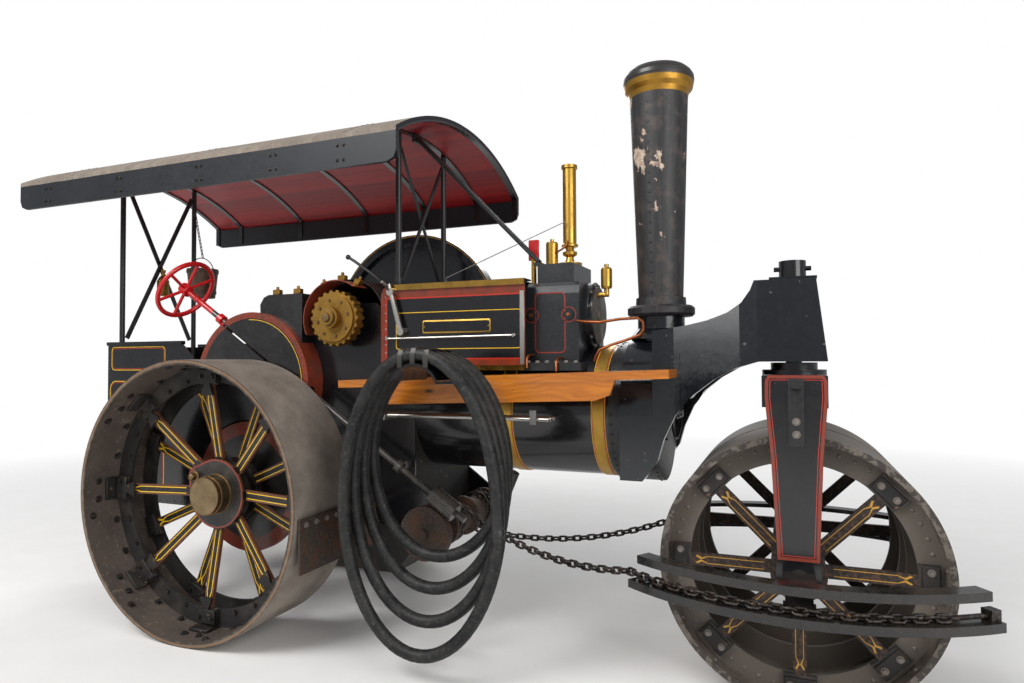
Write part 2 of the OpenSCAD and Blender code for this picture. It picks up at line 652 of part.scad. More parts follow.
// Crankshaft with its webs, eccentrics and the bronze-faced pinion
throw = 112;
pinion_r = 176;
pinion_teeth = 22;
module crankshaft() place() color("#6b655c") {
    across(crank_x, crank_z, crank_r, -618, -110);
    across(crank_x, crank_z, crank_r, 110, 590);
    for (y = [-110, 60]) side_plate(y, y + 50)
        translate([crank_x, crank_z]) union() {
            translate([-48, -48]) square([throw + 48, 96]);
            translate([throw, 0]) circle(r = 48);
            circle(r = 70);
        }
    across(crank_x + throw, crank_z, 42, -60, 60);
    for (y = [-300, -220]) across(crank_x - 34, crank_z + 10, 96, y, y + 50);
    side_plate(-540, -470) translate([crank_x, crank_z]) {
        circle(r = pinion_r - 12);
        for (i = [0:pinion_teeth - 1]) rotate(i * 360 / pinion_teeth) translate([pinion_r - 16, -11]) square([15.5, 22]);
    }
    across(crank_x, crank_z, 150, -556, -540);
    across(crank_x, crank_z, 66, -600, -556);
}

// Flywheel: a solid dished disc with a thick rim
fly_r = flywheel_d / 2;
module flywheel() place() color("#15151a")
    difference() {
        union() {
            ring_across(crank_x, crank_z, fly_r, fly_r - 62, flywheel_y - flywheel_w / 2, flywheel_y + flywheel_w / 2);
            across(crank_x, crank_z, fly_r - 61, flywheel_y - 14, flywheel_y + 14);
            across(crank_x, crank_z, 110, flywheel_y - flywheel_w / 2, flywheel_y + 70);
        }
        across(crank_x, crank_z, crank_r, flywheel_y - 200, flywheel_y + 200);
    }

// Hand wheel, steering shaft and worm, turning as one
shaft_r = 19;
worm_s = (drum_x - wheel_x) * cos(steer_slope) + (wheel_z - drum_z) * sin(steer_slope);
worm_r = abs((drum_x - wheel_x) * sin(steer_slope) - (wheel_z - drum_z) * cos(steer_slope))
    - worm_wheel_r - run_gap;
module steering_column() place() color("#9c1c16")
    translate([wheel_x, -steer_y, wheel_z]) rotate([0, 90 + steer_slope, 0]) {
        rotate_extrude() translate([hand_wheel_r - 16, 0]) circle(r = 16);
        for (i = [0:5]) rotate(i * 60) translate([30, 0, 0]) rotate([0, 90, 0]) cylinder(r = 11, h = hand_wheel_r - 44);
        translate([0, 0, -34]) cylinder(r = 38, h = 68);
        cylinder(r = shaft_r, h = worm_s + 160);
        translate([0, 0, worm_s - 90]) cylinder(r = worm_r, h = 180);
    }

// Chain drum across the machine with its worm wheel
module chain_drum() place() color("#3c352e") {
    across(drum_x, drum_z, drum_shaft_r, -560, 430);
    across(drum_x, drum_z, drum_r, -330, 330);
    for (y = [-330, -20, 300]) across(drum_x, drum_z, drum_r + 34, y, y + 24);
    across(drum_x, drum_z, worm_wheel_r, -528, -468);
}

// One road wheel in its own frame: the axis is Z, outward is +Z
module wheel_rim(r, w, rings) {
        difference() {
            translate([0, 0, -w / 2]) cylinder(r = r, h = w, $fn = 96);
            translate([0, 0, -w / 2 - 1]) cylinder(r = r - rim_t, h = w + 2, $fn = 96);
        }
        for (z = rings) translate([0, 0, z]) difference() {
            cylinder(r = r - rim_t + 1, h = ring_t, $fn = 96);
            translate([0, 0, -1]) cylinder(r = r - rim_t - 110, h = ring_t + 2, $fn = 96);
        }
}
ring_t = 22;
spoke_w = 62;
spoke_t = 24;
spoke_root = 100;
spoke_foot = [94, 150];
module wheel_spokes(r, z_hub, z_ring, n, turn)
    for (i = [0:n - 1]) rotate(turn + i * 360 / n) {
        reach = r - spoke_foot[0] - spoke_root;
        translate([spoke_root, spoke_w / 2, 0]) rotate([90, 0, 0]) linear_extrude(height = spoke_w)
            polygon([[0, z_hub], [reach, z_ring], [reach + 4, z_ring], [reach + 4, z_ring + spoke_t],
                     [reach, z_ring + spoke_t], [0, z_hub + spoke_t]]);
        translate([r - spoke_foot[0], -spoke_foot[1] / 2, z_ring]) cube([spoke_foot[0], spoke_foot[1], spoke_t]);
    }

// Rear wheels: rims with two tee rings, eight outer and eight inner spokes
ring_out_z = 4;
ring_in_z = -180;
hub_in_z = -235;
hub_r = 130;
module rear_side(s) translate([0, s * rear_track / 2, axle_z]) rotate([-90 * s, 0, 0]) children();
module rear_rim() wheel_rim(rear_r, rear_wheel_w, [ring_out_z, ring_in_z]);
cap_r = 118;
cap_step_z = 55;
cap_face_z = 83;
dish_z = -82;
driver_r = 215;
lobe_r = 60;
lobe = [-165, 100];
module driver_outline() {
    a = atan2(lobe[1], lobe[0]);
    b = acos((driver_r - lobe_r) / norm(lobe));
    function on(r, t) = r * [cos(t), sin(t)];
    circle(r = driver_r);
    translate(lobe) circle(r = lobe_r);
    polygon([on(driver_r, a + b), lobe + on(lobe_r, a + b), lobe + on(lobe_r, a - b), on(driver_r, a - b)]);
}
module rear_centre() {
    spoke_z = ring_t + run_gap;
    foot_r = rear_r - rim_t - 30;
    plate_z = dish_z + spoke_t + 29;
    difference() {
        union() {
            wheel_spokes(foot_r, dish_z, ring_out_z + spoke_z, 8, 0);
            wheel_spokes(foot_r, ring_in_z + spoke_z, ring_in_z + spoke_z, 8, 22.5);
            translate([0, 0, hub_in_z]) cylinder(r = hub_r, h = plate_z - run_gap - hub_in_z);
            for (z = [ring_in_z, dish_z]) translate([0, 0, z - 8]) cylinder(r = 205, h = 40);
            translate([0, 0, plate_z - 10]) cylinder(r = cap_r, h = cap_step_z - plate_z + 10);
            translate([0, 0, cap_step_z - 1]) cylinder(r = cap_r - 5, h = cap_face_z - cap_step_z + 1);
        }
        translate([0, 0, hub_in_z - 1]) cylinder(r = axle_r + bore_gap, h = 276);
    }
    translate([0, 0, plate_z]) {
        difference() {
            linear_extrude(height = 16) driver_outline();
            translate([0, 0, -1]) cylinder(r = cap_r + run_gap, h = 20);
        }
        translate([lobe[0], lobe[1], 8]) cylinder(r = 22, h = 46);
    }
}
module rear_wheel_near() place() color("#6b625a") rear_side(-1) rear_rim();
module rear_wheel_far() place() color("#6b625a") rear_side(1) rear_rim();
module rear_spokes_near() place() color("#232122") rear_side(-1) rear_centre();
module rear_spokes_far() place() color("#232122") rear_side(1) rear_centre();

// Final drive gear on the near wheel
final_gear_r = 425;
gear_face_y = (rear_track - rear_wheel_w) / 2 - 19;
module final_gear() place() color("#5a2a22")
{
    ring_across(0, axle_z, final_gear_r, axle_r + bore_gap, -gear_face_y, -gear_face_y + 43);
    ring_across(0, axle_z, hub_r, axle_r + bore_gap, -rear_track / 2 - hub_in_z + run_gap, -gear_face_y + 1);
}

// Fork: crown, two legs and the bosses of the front axle
leg_top_z = 1585;
leg_y0 = fork_half_w - fork_leg_t;
module leg_outline()
    polygon([[-120, leg_top_z], [-134, 1560], [-136, 1480], [-112, 1200], [-92, 780], [-98, front_r],
             [98, front_r], [92, 780], [112, 1200], [136, 1480], [134, 1560], [120, leg_top_z]]);
module fork() place() color("#1b1b1e")
    translate([wheelbase, 0, 0]) {
        difference() {
            union() {
                both_sides() {
                    side_plate(-fork_half_w, -leg_y0) leg_outline();
                    across(0, front_r, 98, -fork_half_w, -leg_y0);
                }
                translate([-150, -leg_y0 - 1, crown_top_z - 170]) cube([290, 2 * leg_y0 + 2, 150]);
                translate([0, 0, crown_top_z - 170]) cylinder(r = 165, h = 170);
                translate([0, 0, crown_top_z - 1]) cylinder(r = 120, h = head_bottom_z - crown_top_z - 5);
            }
            both_sides() across(0, front_r, front_axle_r + bore_gap, -fork_half_w - 1, -leg_y0 + 1);
            translate([0, 0, crown_top_z - 171]) cylinder(r = king_r, h = 400);
        }
    }

// King pin with its nut and cross pin on top of the head
module king_pin() place() color("#141416")
    translate([wheelbase, 0, 0]) {
        translate([0, 0, crown_top_z - 175]) cylinder(r = king_r, h = head_top_z + 32 - crown_top_z + 175);
        translate([-120, -110, head_top_z + 6]) cube([240, 220, 16]);
        translate([0, 0, head_top_z + 20]) cylinder(r = 70, h = 96);
        rod([-96, 0, head_top_z + 74], [96, 0, head_top_z + 74], 13);
    }

// Front axle, fast in the fork
module front_axle() place() color("#3b3a39")
    across(wheelbase, front_r, front_axle_r, -fork_half_w, fork_half_w);

// Guide bars: two bowed angle irons on each side, on brackets from the fork legs
guide_mid_y = 905;
guide_bow_r = 1310;
guide_upper_half_l = guide_half_l - 55;
module guide_arc(z, half_l)
    translate([0, guide_bow_r - guide_mid_y, z]) rotate([0, 0, 270 - asin(half_l / guide_bow_r)])
        rotate_extrude(angle = 2 * asin(half_l / guide_bow_r), $fn = 96) children();
module guide_bars() place() color("#15161a")
    translate([wheelbase, 0, 0]) both_sides() {
        guide_arc(guide_upper_z, guide_upper_half_l)
            polygon([[guide_bow_r - 82, 0], [guide_bow_r, 0], [guide_bow_r, -40], [guide_bow_r - 10, -40],
                     [guide_bow_r - 10, -10], [guide_bow_r - 82, -10]]);
        guide_arc(guide_lower_z, guide_half_l)
            polygon([[guide_bow_r - 96, 0], [guide_bow_r, 0], [guide_bow_r, -40], [guide_bow_r - 10, -40],
                     [guide_bow_r - 10, -10], [guide_bow_r - 96, -10]]);
        translate([-70, -guide_mid_y + 15, guide_upper_z - 30]) cube([140, guide_mid_y - fork_half_w - 15.3, 20]);
        translate([-70, -guide_mid_y + 15, guide_lower_z - 30]) cube([140, guide_mid_y - fork_half_w - 15.3, 20]);
        translate([-60, -fork_half_w - 25, guide_lower_z - 30]) cube([120, 24.7, 155]);
    }

// One chain link lying in the XY plane, its length along X
wire_r = 7;
link_pitch = 48;
link_w = 33;
module link() {
    h = (link_pitch - link_w) / 2 + wire_r;
    for (s = [-1, 1]) {
        translate([-h, s * link_w / 2, 0]) rotate([0, 90, 0]) cylinder(r = wire_r, h = 2 * h);
        translate([s * h, 0, 0]) rotate(s > 0 ? -90 : 90) rotate_extrude(angle = 180)
            translate([link_w / 2, 0]) circle(r = wire_r);
    }
}

// Chains lying on the lower guide bars, each made fast at its front end by an eyebolt in a block
chain_r = guide_bow_r - 48;
chain_step = 2 * asin((link_pitch - run_gap) / 2 / chain_r);
chain_aft = 18;
chain_fore = 12;
bolt_block = [50, 52, 46];
function guide_point(n) = [chain_r * sin(n * chain_step), guide_bow_r - guide_mid_y - chain_r * cos(n * chain_step),
                           guide_lower_z + link_half_h + run_gap];
module on_guide(n) translate(guide_point(n)) rotate([0, 0, n * chain_step]) children();
module guide_chains() place() color("#2b2624")
    translate([wheelbase, 0, 0]) both_sides() {
        for (i = [-chain_aft:chain_fore]) on_guide(i) rotate([i % 2 == 0 ? 45 : -45, 0, 0]) link();
        rod(guide_point(chain_fore + 0.62), guide_point(chain_fore + 4.7), 11);
        on_guide(chain_fore + 4.8) translate([-bolt_block[0] / 2, -bolt_block[1] / 2, -link_half_h]) cube(bolt_block);
    }

// Front rolls, free of each other
roll_y = (front_roll_w + front_roll_gap) / 2;
module front_side(s) translate([wheelbase, s * roll_y, front_r]) rotate([-90 * s, 0, 0]) children();
module front_roll() {
    wheel_rim(front_r, front_roll_w, [front_roll_w / 2 - 110, -front_roll_w / 2 + 80]);
    difference() {
        union() {
            wheel_spokes(front_r - rim_t - 20, front_roll_w / 2 - 88, front_roll_w / 2 - 88, 8, 0);
            translate([0, 0, -front_roll_w / 2 + 4]) cylinder(r = 125, h = front_roll_w + 28);
        }
        translate([0, 0, -front_roll_w / 2]) cylinder(r = front_axle_r + bore_gap, h = 2 * front_roll_w);
    }
}
module front_roll_near() place() color("#6b625a") front_side(-1) front_roll();
module front_roll_far() place() color("#6b625a") front_side(1) front_roll();

// Free spans of the steering chains, from the drum to the rear tips of the guide bars: the near
// one leaves the drum at the top, the far one at the bottom
link_step = link_pitch - run_gap;
link_half_h = link_w / 2 * sin(45) + wire_r;
end_drop = 2.2;
module chain_span(s, y, drop, seat, end_out) {
    a_end = (chain_aft + 0.48) * chain_step;
    lead = drum_r + link_half_h + run_gap - seat;
    p = [drum_x - s * lead * sin(drop), s * y, drum_z - s * lead * cos(drop)];
    end_r = chain_r + end_out;
    q = [wheelbase - end_r * sin(a_end), s * (guide_mid_y - guide_bow_r + end_r * cos(a_end)),
         guide_lower_z + link_half_h + run_gap - end_drop];
    l = norm(q - p);
    n = ceil(l / link_step);
    sag = sqrt(3 * l * (n * link_step - l) / 8) * l / norm([q[0] - p[0], q[1] - p[1]]);
    function at(t) = p + (q - p) * t - [0, 0, 4 * sag * t * (1 - t)];
    steps = 200;
    run = [for (j = 0, d = 0; j <= steps; d = d + norm(at((j + 1) / steps) - at(j / steps)), j = j + 1)
        [d, j / steps]];
    for (i = [0:n - 1]) {
        t = lookup((i + 0.5) * run[steps][0] / n, run);
        e = at(t + 0.01) - at(t - 0.01);
        translate(at(t)) rotate([0, -asin(e[2] / norm(e)), atan2(e[1], e[0])])
            rotate([(n - i) % 2 == 0 ? -45 * s : 45 * s, 0, 0]) link();
    }
}
module chain_span_near() place() color("#2b2624") chain_span(-1, 142, 21, 1.5, 0.3);
module chain_span_far() place() color("#2b2624") chain_span(1, 130, 11, 0.6, 1.7);

// Suction hose hung over the saddle in four turns of growing size
hose_r = hose_d / 2;
turns = 4;
rings_per_turn = 18;
turn_y = 72;
hose_back_y = -742;
function turn_half_w(t) = 400 + 14 * t;
function turn_h(t) = 1010 + 150 * t;
function hose_point(i) = let (t = i / rings_per_turn, a = 360 * t)
    [saddle_x + turn_half_w(t) * sin(a), hose_back_y - turn_y * t,
     saddle_top_z + hose_r * cos(14) + run_gap + turn_h(t) * (cos(a) - cos(180 / rings_per_turn)) / 2];
hose_path = [for (i = [5:turns * rings_per_turn + 4]) hose_point(i + 0.5)];
module tube(path, r, sides) {
    n = len(path);
    function dir(i) = let (a = path[max(i - 1, 0)], b = path[min(i + 1, n - 1)]) (b - a) / norm(b - a);
    function ring(i) = let (d = dir(i), u0 = cross(d, [0, 1, 0]), u = u0 / norm(u0), v = cross(d, u))
        [for (k = [0:sides - 1]) path[i] + r * (cos(360 * k / sides) * u + sin(360 * k / sides) * v)];
    points = [for (i = [0:n - 1]) each ring(i)];
    walls = [for (i = [0:n - 2], k = [0:sides - 1])
        let (a = i * sides + k, b = i * sides + (k + 1) % sides) [a, b, b + sides, a + sides]];
    polyhedron(points = points,
               faces = concat(walls, [[for (k = [sides - 1:-1:0]) k]],
                              [[for (k = [0:sides - 1]) (n - 1) * sides + k]]));
}
module hose() place() color("#5b5c5f") tube(hose_path, hose_r, 8);

// Coupling on the hose's end
module hose_fittings() place() color("#2c2c2e") {
    e = hose_path[0];
    f = hose_path[1];
    d = (e - f) / norm(e - f);
    rod(e + d * run_gap, e + d * 110, hose_r + 4);
}

boiler_barrel();
boiler_bands();
firebox();
ash_pan();
smokebox();
smokebox_door();
chimney();
chimney_cap();
saddle_casting();
cylinder_block();
cylinder_brasses();
hornplates();
motion_cover();
crank_guard();
gear_cover();
final_drive_guard();
tender();
drawbar();
controls();
canopy_roof();
canopy_boards();
canopy_hoops();
canopy_pillars();
canopy_braces();
side_board();
tool_rods();
rear_axle();
rear_scrapers();
steering_bearers();
hose_saddle();
crankshaft();
flywheel();
steering_column();
chain_drum();
rear_wheel_near();
rear_spokes_near();
rear_wheel_far();
rear_spokes_far();
final_gear();
fork();
king_pin();
front_axle();
guide_bars();
guide_chains();
front_roll_near();
front_roll_far();
chain_span_near();
chain_span_far();
hose();
hose_fittings();
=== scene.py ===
"""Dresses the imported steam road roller: paint, brass, chains, hose, lining and bolts, on a pale studio floor.

Lengths are metres. Positions along the machine are written from the rear axle (X = 0 there), and
`spot` shifts them into the row frame. The near side, where the gears are, is -Y.
"""
import logging
import math
from collections.abc import Iterable, Sequence
from dataclasses import dataclass, field
from enum import Enum

import bmesh
import bpy
from mathutils import Matrix, Vector


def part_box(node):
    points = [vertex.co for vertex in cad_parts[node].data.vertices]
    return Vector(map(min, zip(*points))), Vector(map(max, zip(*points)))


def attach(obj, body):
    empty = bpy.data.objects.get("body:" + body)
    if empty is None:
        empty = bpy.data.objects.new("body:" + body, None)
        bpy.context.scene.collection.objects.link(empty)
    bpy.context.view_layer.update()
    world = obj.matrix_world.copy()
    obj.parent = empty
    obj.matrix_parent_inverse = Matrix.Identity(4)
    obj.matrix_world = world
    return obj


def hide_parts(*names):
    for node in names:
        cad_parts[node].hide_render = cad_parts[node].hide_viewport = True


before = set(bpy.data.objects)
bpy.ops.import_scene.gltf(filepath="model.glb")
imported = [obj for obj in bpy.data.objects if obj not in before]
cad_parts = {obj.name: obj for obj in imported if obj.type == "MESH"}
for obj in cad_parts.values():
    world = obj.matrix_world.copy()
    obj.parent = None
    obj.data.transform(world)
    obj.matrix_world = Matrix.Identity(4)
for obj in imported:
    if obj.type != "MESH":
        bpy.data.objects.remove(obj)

log = logging.getLogger("road_roller")
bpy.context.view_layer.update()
REAR_X = -1.205
REAR_R = 0.838
FRONT_X = 3.35
FRONT_R = 0.648
BARREL_Z = 1.358
Socket = bpy.types.NodeSocket
Feed = float | tuple | Socket
Point = Sequence[float]
Outline = list[tuple[float, float]]


def spot(x: float, y: float, z: float) -> Vector:
    """Returns a point given from the rear axle as a row-frame vector."""
    return Vector((x + REAR_X, y, z))


def tint(code: str) -> tuple[float, float, float, float]:
    """Turns a written colour into what a shader takes.

    Args:
        code: The colour as six hex digits, as it looks on a screen.

    Returns:
        Its linear red, green, blue and an alpha of 1.
    """
    shares = [int(code[i:i + 2], 16) / 255 for i in (0, 2, 4)]
    linear = [c / 12.92 if c <= 0.04045 else ((c + 0.055) / 1.055) ** 2.4 for c in shares]
    return (*linear, 1.0)


# Finishes


class Recipe:
    """The node tree of one material, with short calls for the steps that the finishes share."""

    def __init__(self, name: str) -> None:
        """Starts the tree with its shader and its object coordinates.

        Args:
            name: The material's name.
        """
        self.material = bpy.data.materials.new(name)
        self.material.use_nodes = True
        self.tree = self.material.node_tree
        self.tree.nodes.clear()
        self.shader = self.node("ShaderNodeBsdfPrincipled")
        out = self.node("ShaderNodeOutputMaterial")
        self.tree.links.new(self.shader.outputs[0], out.inputs[0])
        where = self.node("ShaderNodeTexCoord")
        self.point = where.outputs["Object"]
        self.x, self.y, self.z = self.parts(self.point)
        self.facing = self.parts(where.outputs["Normal"])

    def node(self, kind: str, settings: dict | None = None, feeds: dict | None = None) -> bpy.types.Node:
        """Adds a node.

        Args:
            kind: The node's type.
            settings: Its own options by name.
            feeds: Values or sockets for its inputs, by name or number.

        Returns:
            The new node.
        """
        made = self.tree.nodes.new(kind)
        for key, value in (settings or {}).items():
            setattr(made, key, value)
        for key, value in (feeds or {}).items():
            self.feed(made.inputs[key], value)
        return made

    def feed(self, socket: Socket, value: Feed) -> None:
        """Links a socket to a value's socket, or sets it to the plain value."""
        if isinstance(value, bpy.types.NodeSocket):
            self.tree.links.new(value, socket)
        else:
            socket.default_value = value

    def parts(self, vector: Socket) -> tuple[Socket, Socket, Socket]:
        """Returns the three parts of a vector."""
        outs = self.node("ShaderNodeSeparateXYZ", None, {0: vector}).outputs
        return outs[0], outs[1], outs[2]

    def calc(self, kind: str, *values: Feed) -> Socket:
        """Returns the result of one sum on numbers, such as ADD or MULTIPLY."""
        return self.node("ShaderNodeMath", {"operation": kind}, dict(enumerate(values))).outputs[0]

    def times(self, value: Feed, factor: Feed) -> Socket:
        """Returns the product of two numbers."""
        return self.calc("MULTIPLY", value, factor)

    def plus(self, value: Feed, more: Feed) -> Socket:
        """Returns the sum of two numbers."""
        return self.calc("ADD", value, more)

    def minus(self, value: Feed, less: Feed) -> Socket:
        """Returns the difference of two numbers."""
        return self.calc("SUBTRACT", value, less)

    def scaled(self, value: Feed, factor: Feed, more: Feed) -> Socket:
        """Returns a number times a factor, plus more."""
        return self.calc("MULTIPLY_ADD", value, factor, more)

    def across(self) -> Socket:
        """Returns the distance from the machine's middle plane."""
        return self.calc("ABSOLUTE", self.y)

    def step(self, value: Feed, low: float, high: float) -> Socket:
        """Returns 0 below low, 1 above high and an even slope between."""
        return self.node("ShaderNodeMapRange", None, {0: value, 1: low, 2: high}).outputs[0]

    def within(self, value: Feed, low: float, high: float, soft: float = 0.001) -> Socket:
        """Returns 1 where a value lies between low and high, with soft edges."""
        rise = self.step(value, low - soft, low + soft)
        fall = self.step(value, high + soft, high - soft)
        return self.times(rise, fall)

    def noise(self, scale: float, detail: float = 4.0, stretch: Point = (1, 1, 1), shift: float = 0.0) -> Socket:
        """Returns cloudy noise.

        Args:
            scale: Clouds per metre.
            detail: How many finer layers it has.
            stretch: Its scale along each axis.
            shift: Moves the pattern, so that finishes differ.

        Returns:
            The noise, about 0.3 to 0.7.
        """
        turned = self.node("ShaderNodeMapping", None,
                           {"Vector": self.point, "Location": (shift, shift, shift), "Scale": tuple(stretch)})
        return self.node("ShaderNodeTexNoise", None,
                         {"Vector": turned.outputs[0], "Scale": scale, "Detail": detail,
                          "Roughness": 0.62}).outputs[0]

    def specks(self, scale: float, stretch: Point = (1, 1, 1)) -> Socket:
        """Returns the distance to the nearest of many scattered points."""
        turned = self.node("ShaderNodeMapping", None, {"Vector": self.point, "Scale": tuple(stretch)})
        return self.node("ShaderNodeTexVoronoi", None, {"Vector": turned.outputs[0], "Scale": scale}).outputs[0]

    def blend(self, share: Feed, under: Feed, over: Feed) -> Socket:
        """Returns the colour under, covered by the colour over as far as share says."""
        mixed = self.node("ShaderNodeMix", {"data_type": "RGBA"}, {0: share, 6: under, 7: over})
        return mixed.outputs[2]

    def wash(self, tone: Feed, pattern: Feed, low: float, high: float, colour: str, share: float = 1.0) -> Socket:
        """Covers a tone with a colour where a pattern goes from low to high.

        Args:
            tone: The colour below.
            pattern: The pattern.
            low: Where the cover starts.
            high: Where it is full.
            colour: The cover's written colour.
            share: How far the full cover hides what is below.

        Returns:
            The mixed colour.
        """
        cover = self.step(pattern, low, high)
        return self.blend(cover if share == 1.0 else self.times(cover, share), tone, tint(colour))

    @property
    def paint(self) -> Socket:
        """The colour that feeds the shader."""
        return self.shader.inputs["Base Color"].links[0].from_socket

    @paint.setter
    def paint(self, colour: Feed) -> None:
        self.feed(self.shader.inputs["Base Color"], colour)

    def radius(self, x: float, z: float) -> Socket:
        """Returns the distance from an axis that runs across the machine at x, z of the row frame."""
        dx, dz = self.minus(self.x, x), self.minus(self.z, z)
        return self.calc("SQRT", self.plus(self.times(dx, dx), self.times(dz, dz)))

    def finish(self, colour: Feed, roughness: Feed, relief: Socket | None = None, depth: float = 0.001,
               others: dict[str, Feed] | None = None) -> None:
        """Feeds the shader.

        Args:
            colour: Its base colour.
            roughness: Its roughness.
            relief: The height of its surface, 0 to 1.
            depth: What a height of 1 is, in metres.
            others: What feeds its other inputs, by their names.
        """
        for name, value in {"Base Color": colour, "Roughness": roughness, **(others or {})}.items():
            self.feed(self.shader.inputs[name], value)
        if relief is not None:
            bump = self.node("ShaderNodeBump", None, {"Strength": 0.7, "Distance": depth, "Height": relief})
            self.feed(self.shader.inputs["Normal"], bump.outputs[0])


@dataclass(frozen=True)
class Finish:
    """One finish of the machine. Its material is made once, on first use."""

    name: str
    slot: str = field(default="black_paint", kw_only=True)

    def material(self) -> bpy.types.Material:
        """Returns the finish's material."""
        made = bpy.data.materials.get(self.name)
        if made is None:
            recipe = Recipe(self.name)
            self.mix(recipe)
            made = recipe.material
        return made

    def mix(self, r: Recipe) -> None:
        """Sets up the nodes; each kind of finish has its own."""
        raise NotImplementedError


@dataclass(frozen=True)
class Enamel(Finish):
    """Oil paint on iron, with dust on what faces up, faint clouds and small chips."""

    colour: str = "15151a"
    dust_colour: str = "6e675e"
    dust: float = 0.3
    gloss: float = 0.28
    chips: float = 0.0
    chip_colour: str = "6d6760"
    coat: float = 0.25

    def mix(self, r: Recipe) -> None:
        """Sets up the nodes."""
        clouds = r.noise(2.6, 6, shift=len(self.name) * 0.7)
        fine = r.noise(38, 5)
        up = r.step(r.facing[2], -0.2, 1.0)
        film = r.times(r.step(clouds, 0.42, 0.72), r.scaled(up, 0.7, 0.3))
        film = r.times(r.plus(film, r.times(r.step(fine, 0.45, 0.75), 0.25)), self.dust)
        tone = r.blend(film, tint(self.colour), tint(self.dust_colour))
        rough = r.scaled(film, 0.6, self.gloss)
        rough = r.scaled(r.step(fine, 0.3, 0.7), 0.08, rough)
        relief = r.times(r.noise(16, 3), 0.6)
        if self.chips:
            flakes = r.step(r.noise(21, 8, shift=3.1), 0.72 - self.chips * 0.2, 0.74 - self.chips * 0.2)
            tone = r.blend(flakes, tone, tint(self.chip_colour))
            rough = r.scaled(flakes, 0.3, rough)
            relief = r.minus(relief, r.times(flakes, 0.3))
        r.finish(tone, rough, relief, 0.0012, {"Coat Weight": self.coat, "Coat Roughness": 0.12})


@dataclass(frozen=True)
class Metal(Finish):
    """Bare metal, brushed one way, with tarnish and dirt in clouds."""

    colour: str = "b08a4a"
    tarnish: str = "5d4324"
    worn: float = 0.4
    gloss: float = 0.26
    brush: tuple[float, float, float] = (1.0, 1.0, 6.0)

    def mix(self, r: Recipe) -> None:
        """Sets up the nodes."""
        clouds = r.noise(7, 6, shift=len(self.name) * 0.9)
        strokes = r.noise(90, 3, self.brush)
        share = r.times(r.step(clouds, 0.38, 0.72), self.worn)
        share = r.scaled(r.step(strokes, 0.45, 0.8), 0.2 * self.worn, share)
        rough = r.scaled(share, 0.5, self.gloss)
        r.finish(r.blend(share, tint(self.colour), tint(self.tarnish)),
                 r.scaled(strokes, 0.12, rough), strokes, 0.0002, {"Metallic": 1.0})


@dataclass(frozen=True)
class WornIron(Finish):
    """Iron that is handled or rubbed: dull and dark in its hollows, brighter and browner where it wears."""

    colour: str = "2b2724"
    rubbed: str = "6f665d"
    rust: str = "5a3b27"
    rubbing: float = 0.35
    rusting: float = 0.2
    gloss: float = 0.48

    def mix(self, r: Recipe) -> None:
        """Sets up the nodes."""
        broad = r.noise(9, 6, shift=len(self.name) * 0.5)
        fine = r.noise(70, 6)
        rub = r.times(r.step(fine, 0.48, 0.66), self.rubbing)
        rust = r.times(r.step(broad, 0.5, 0.68), self.rusting)
        tone = r.blend(rust, r.blend(rub, tint(self.colour), tint(self.rubbed)), tint(self.rust))
        r.finish(tone, r.scaled(rust, 0.35, self.gloss), fine, 0.0015, {"Metallic": 0.35})


@dataclass(frozen=True)
class RollingRim(Finish):
    """A wheel's rim by its radius: worn tread, scuffed edge, dusty inside and black angle rings."""

    x: float = REAR_X
    r: float = REAR_R
    inner_y: float = 0.554
    outer_y: float = 1.082
    tread: str = "958b80"
    edge: str = "7c6149"
    inside: str = "5c5149"
    ring: str = "262423"
    flakes: float = 0.2

    def mix(self, r: Recipe) -> None:
        """Sets up the nodes."""
        radius = r.radius(self.x, self.r)
        across = r.across()
        fine, clouds, grain = r.noise(120, 6), r.noise(5, 6), r.noise(30, 8, shift=2.2)
        tread = r.wash(tint(self.tread), clouds, 0.35, 0.7, "6f665d")
        pits = r.step(r.specks(46), 0.16, 0.08)
        tread = r.blend(r.times(pits, 0.7), tread, tint("4b433c"))
        tread = r.wash(tread, fine, 0.55, 0.72, "a39a8d", 0.5)
        inside = r.wash(tint(self.inside), clouds, 0.4, 0.66, "4a423c")
        inside = r.wash(inside, grain, 0.58, 0.66, "8a7c6d", 0.5)
        tone = r.blend(r.step(radius, self.r - 0.012, self.r - 0.008), inside, tread)
        on_side = r.calc("MAXIMUM", r.step(across, self.outer_y - 0.002, self.outer_y - 0.001),
                         r.step(across, self.inner_y + 0.002, self.inner_y + 0.001))
        lip = r.blend(r.within(radius, self.r - 0.0195, self.r - 0.005, 0.003), tint("3a332d"), tint(self.edge))
        lip = r.wash(lip, grain, 0.5, 0.56, "8f867a", self.flakes)
        tone = r.blend(on_side, tone, lip)
        deep = r.times(r.step(radius, self.r - 0.031, self.r - 0.034), r.minus(1.0, on_side))
        ring = r.wash(tint(self.ring), clouds, 0.45, 0.7, "6b6259", 0.35)
        tone = r.blend(deep, tone, ring)
        rough = r.scaled(on_side, -0.16, 0.62)
        height = r.minus(r.scaled(fine, 0.5, r.times(grain, 0.8)), pits)
        r.finish(tone, rough, height, 0.0016, {"Metallic": 0.12})


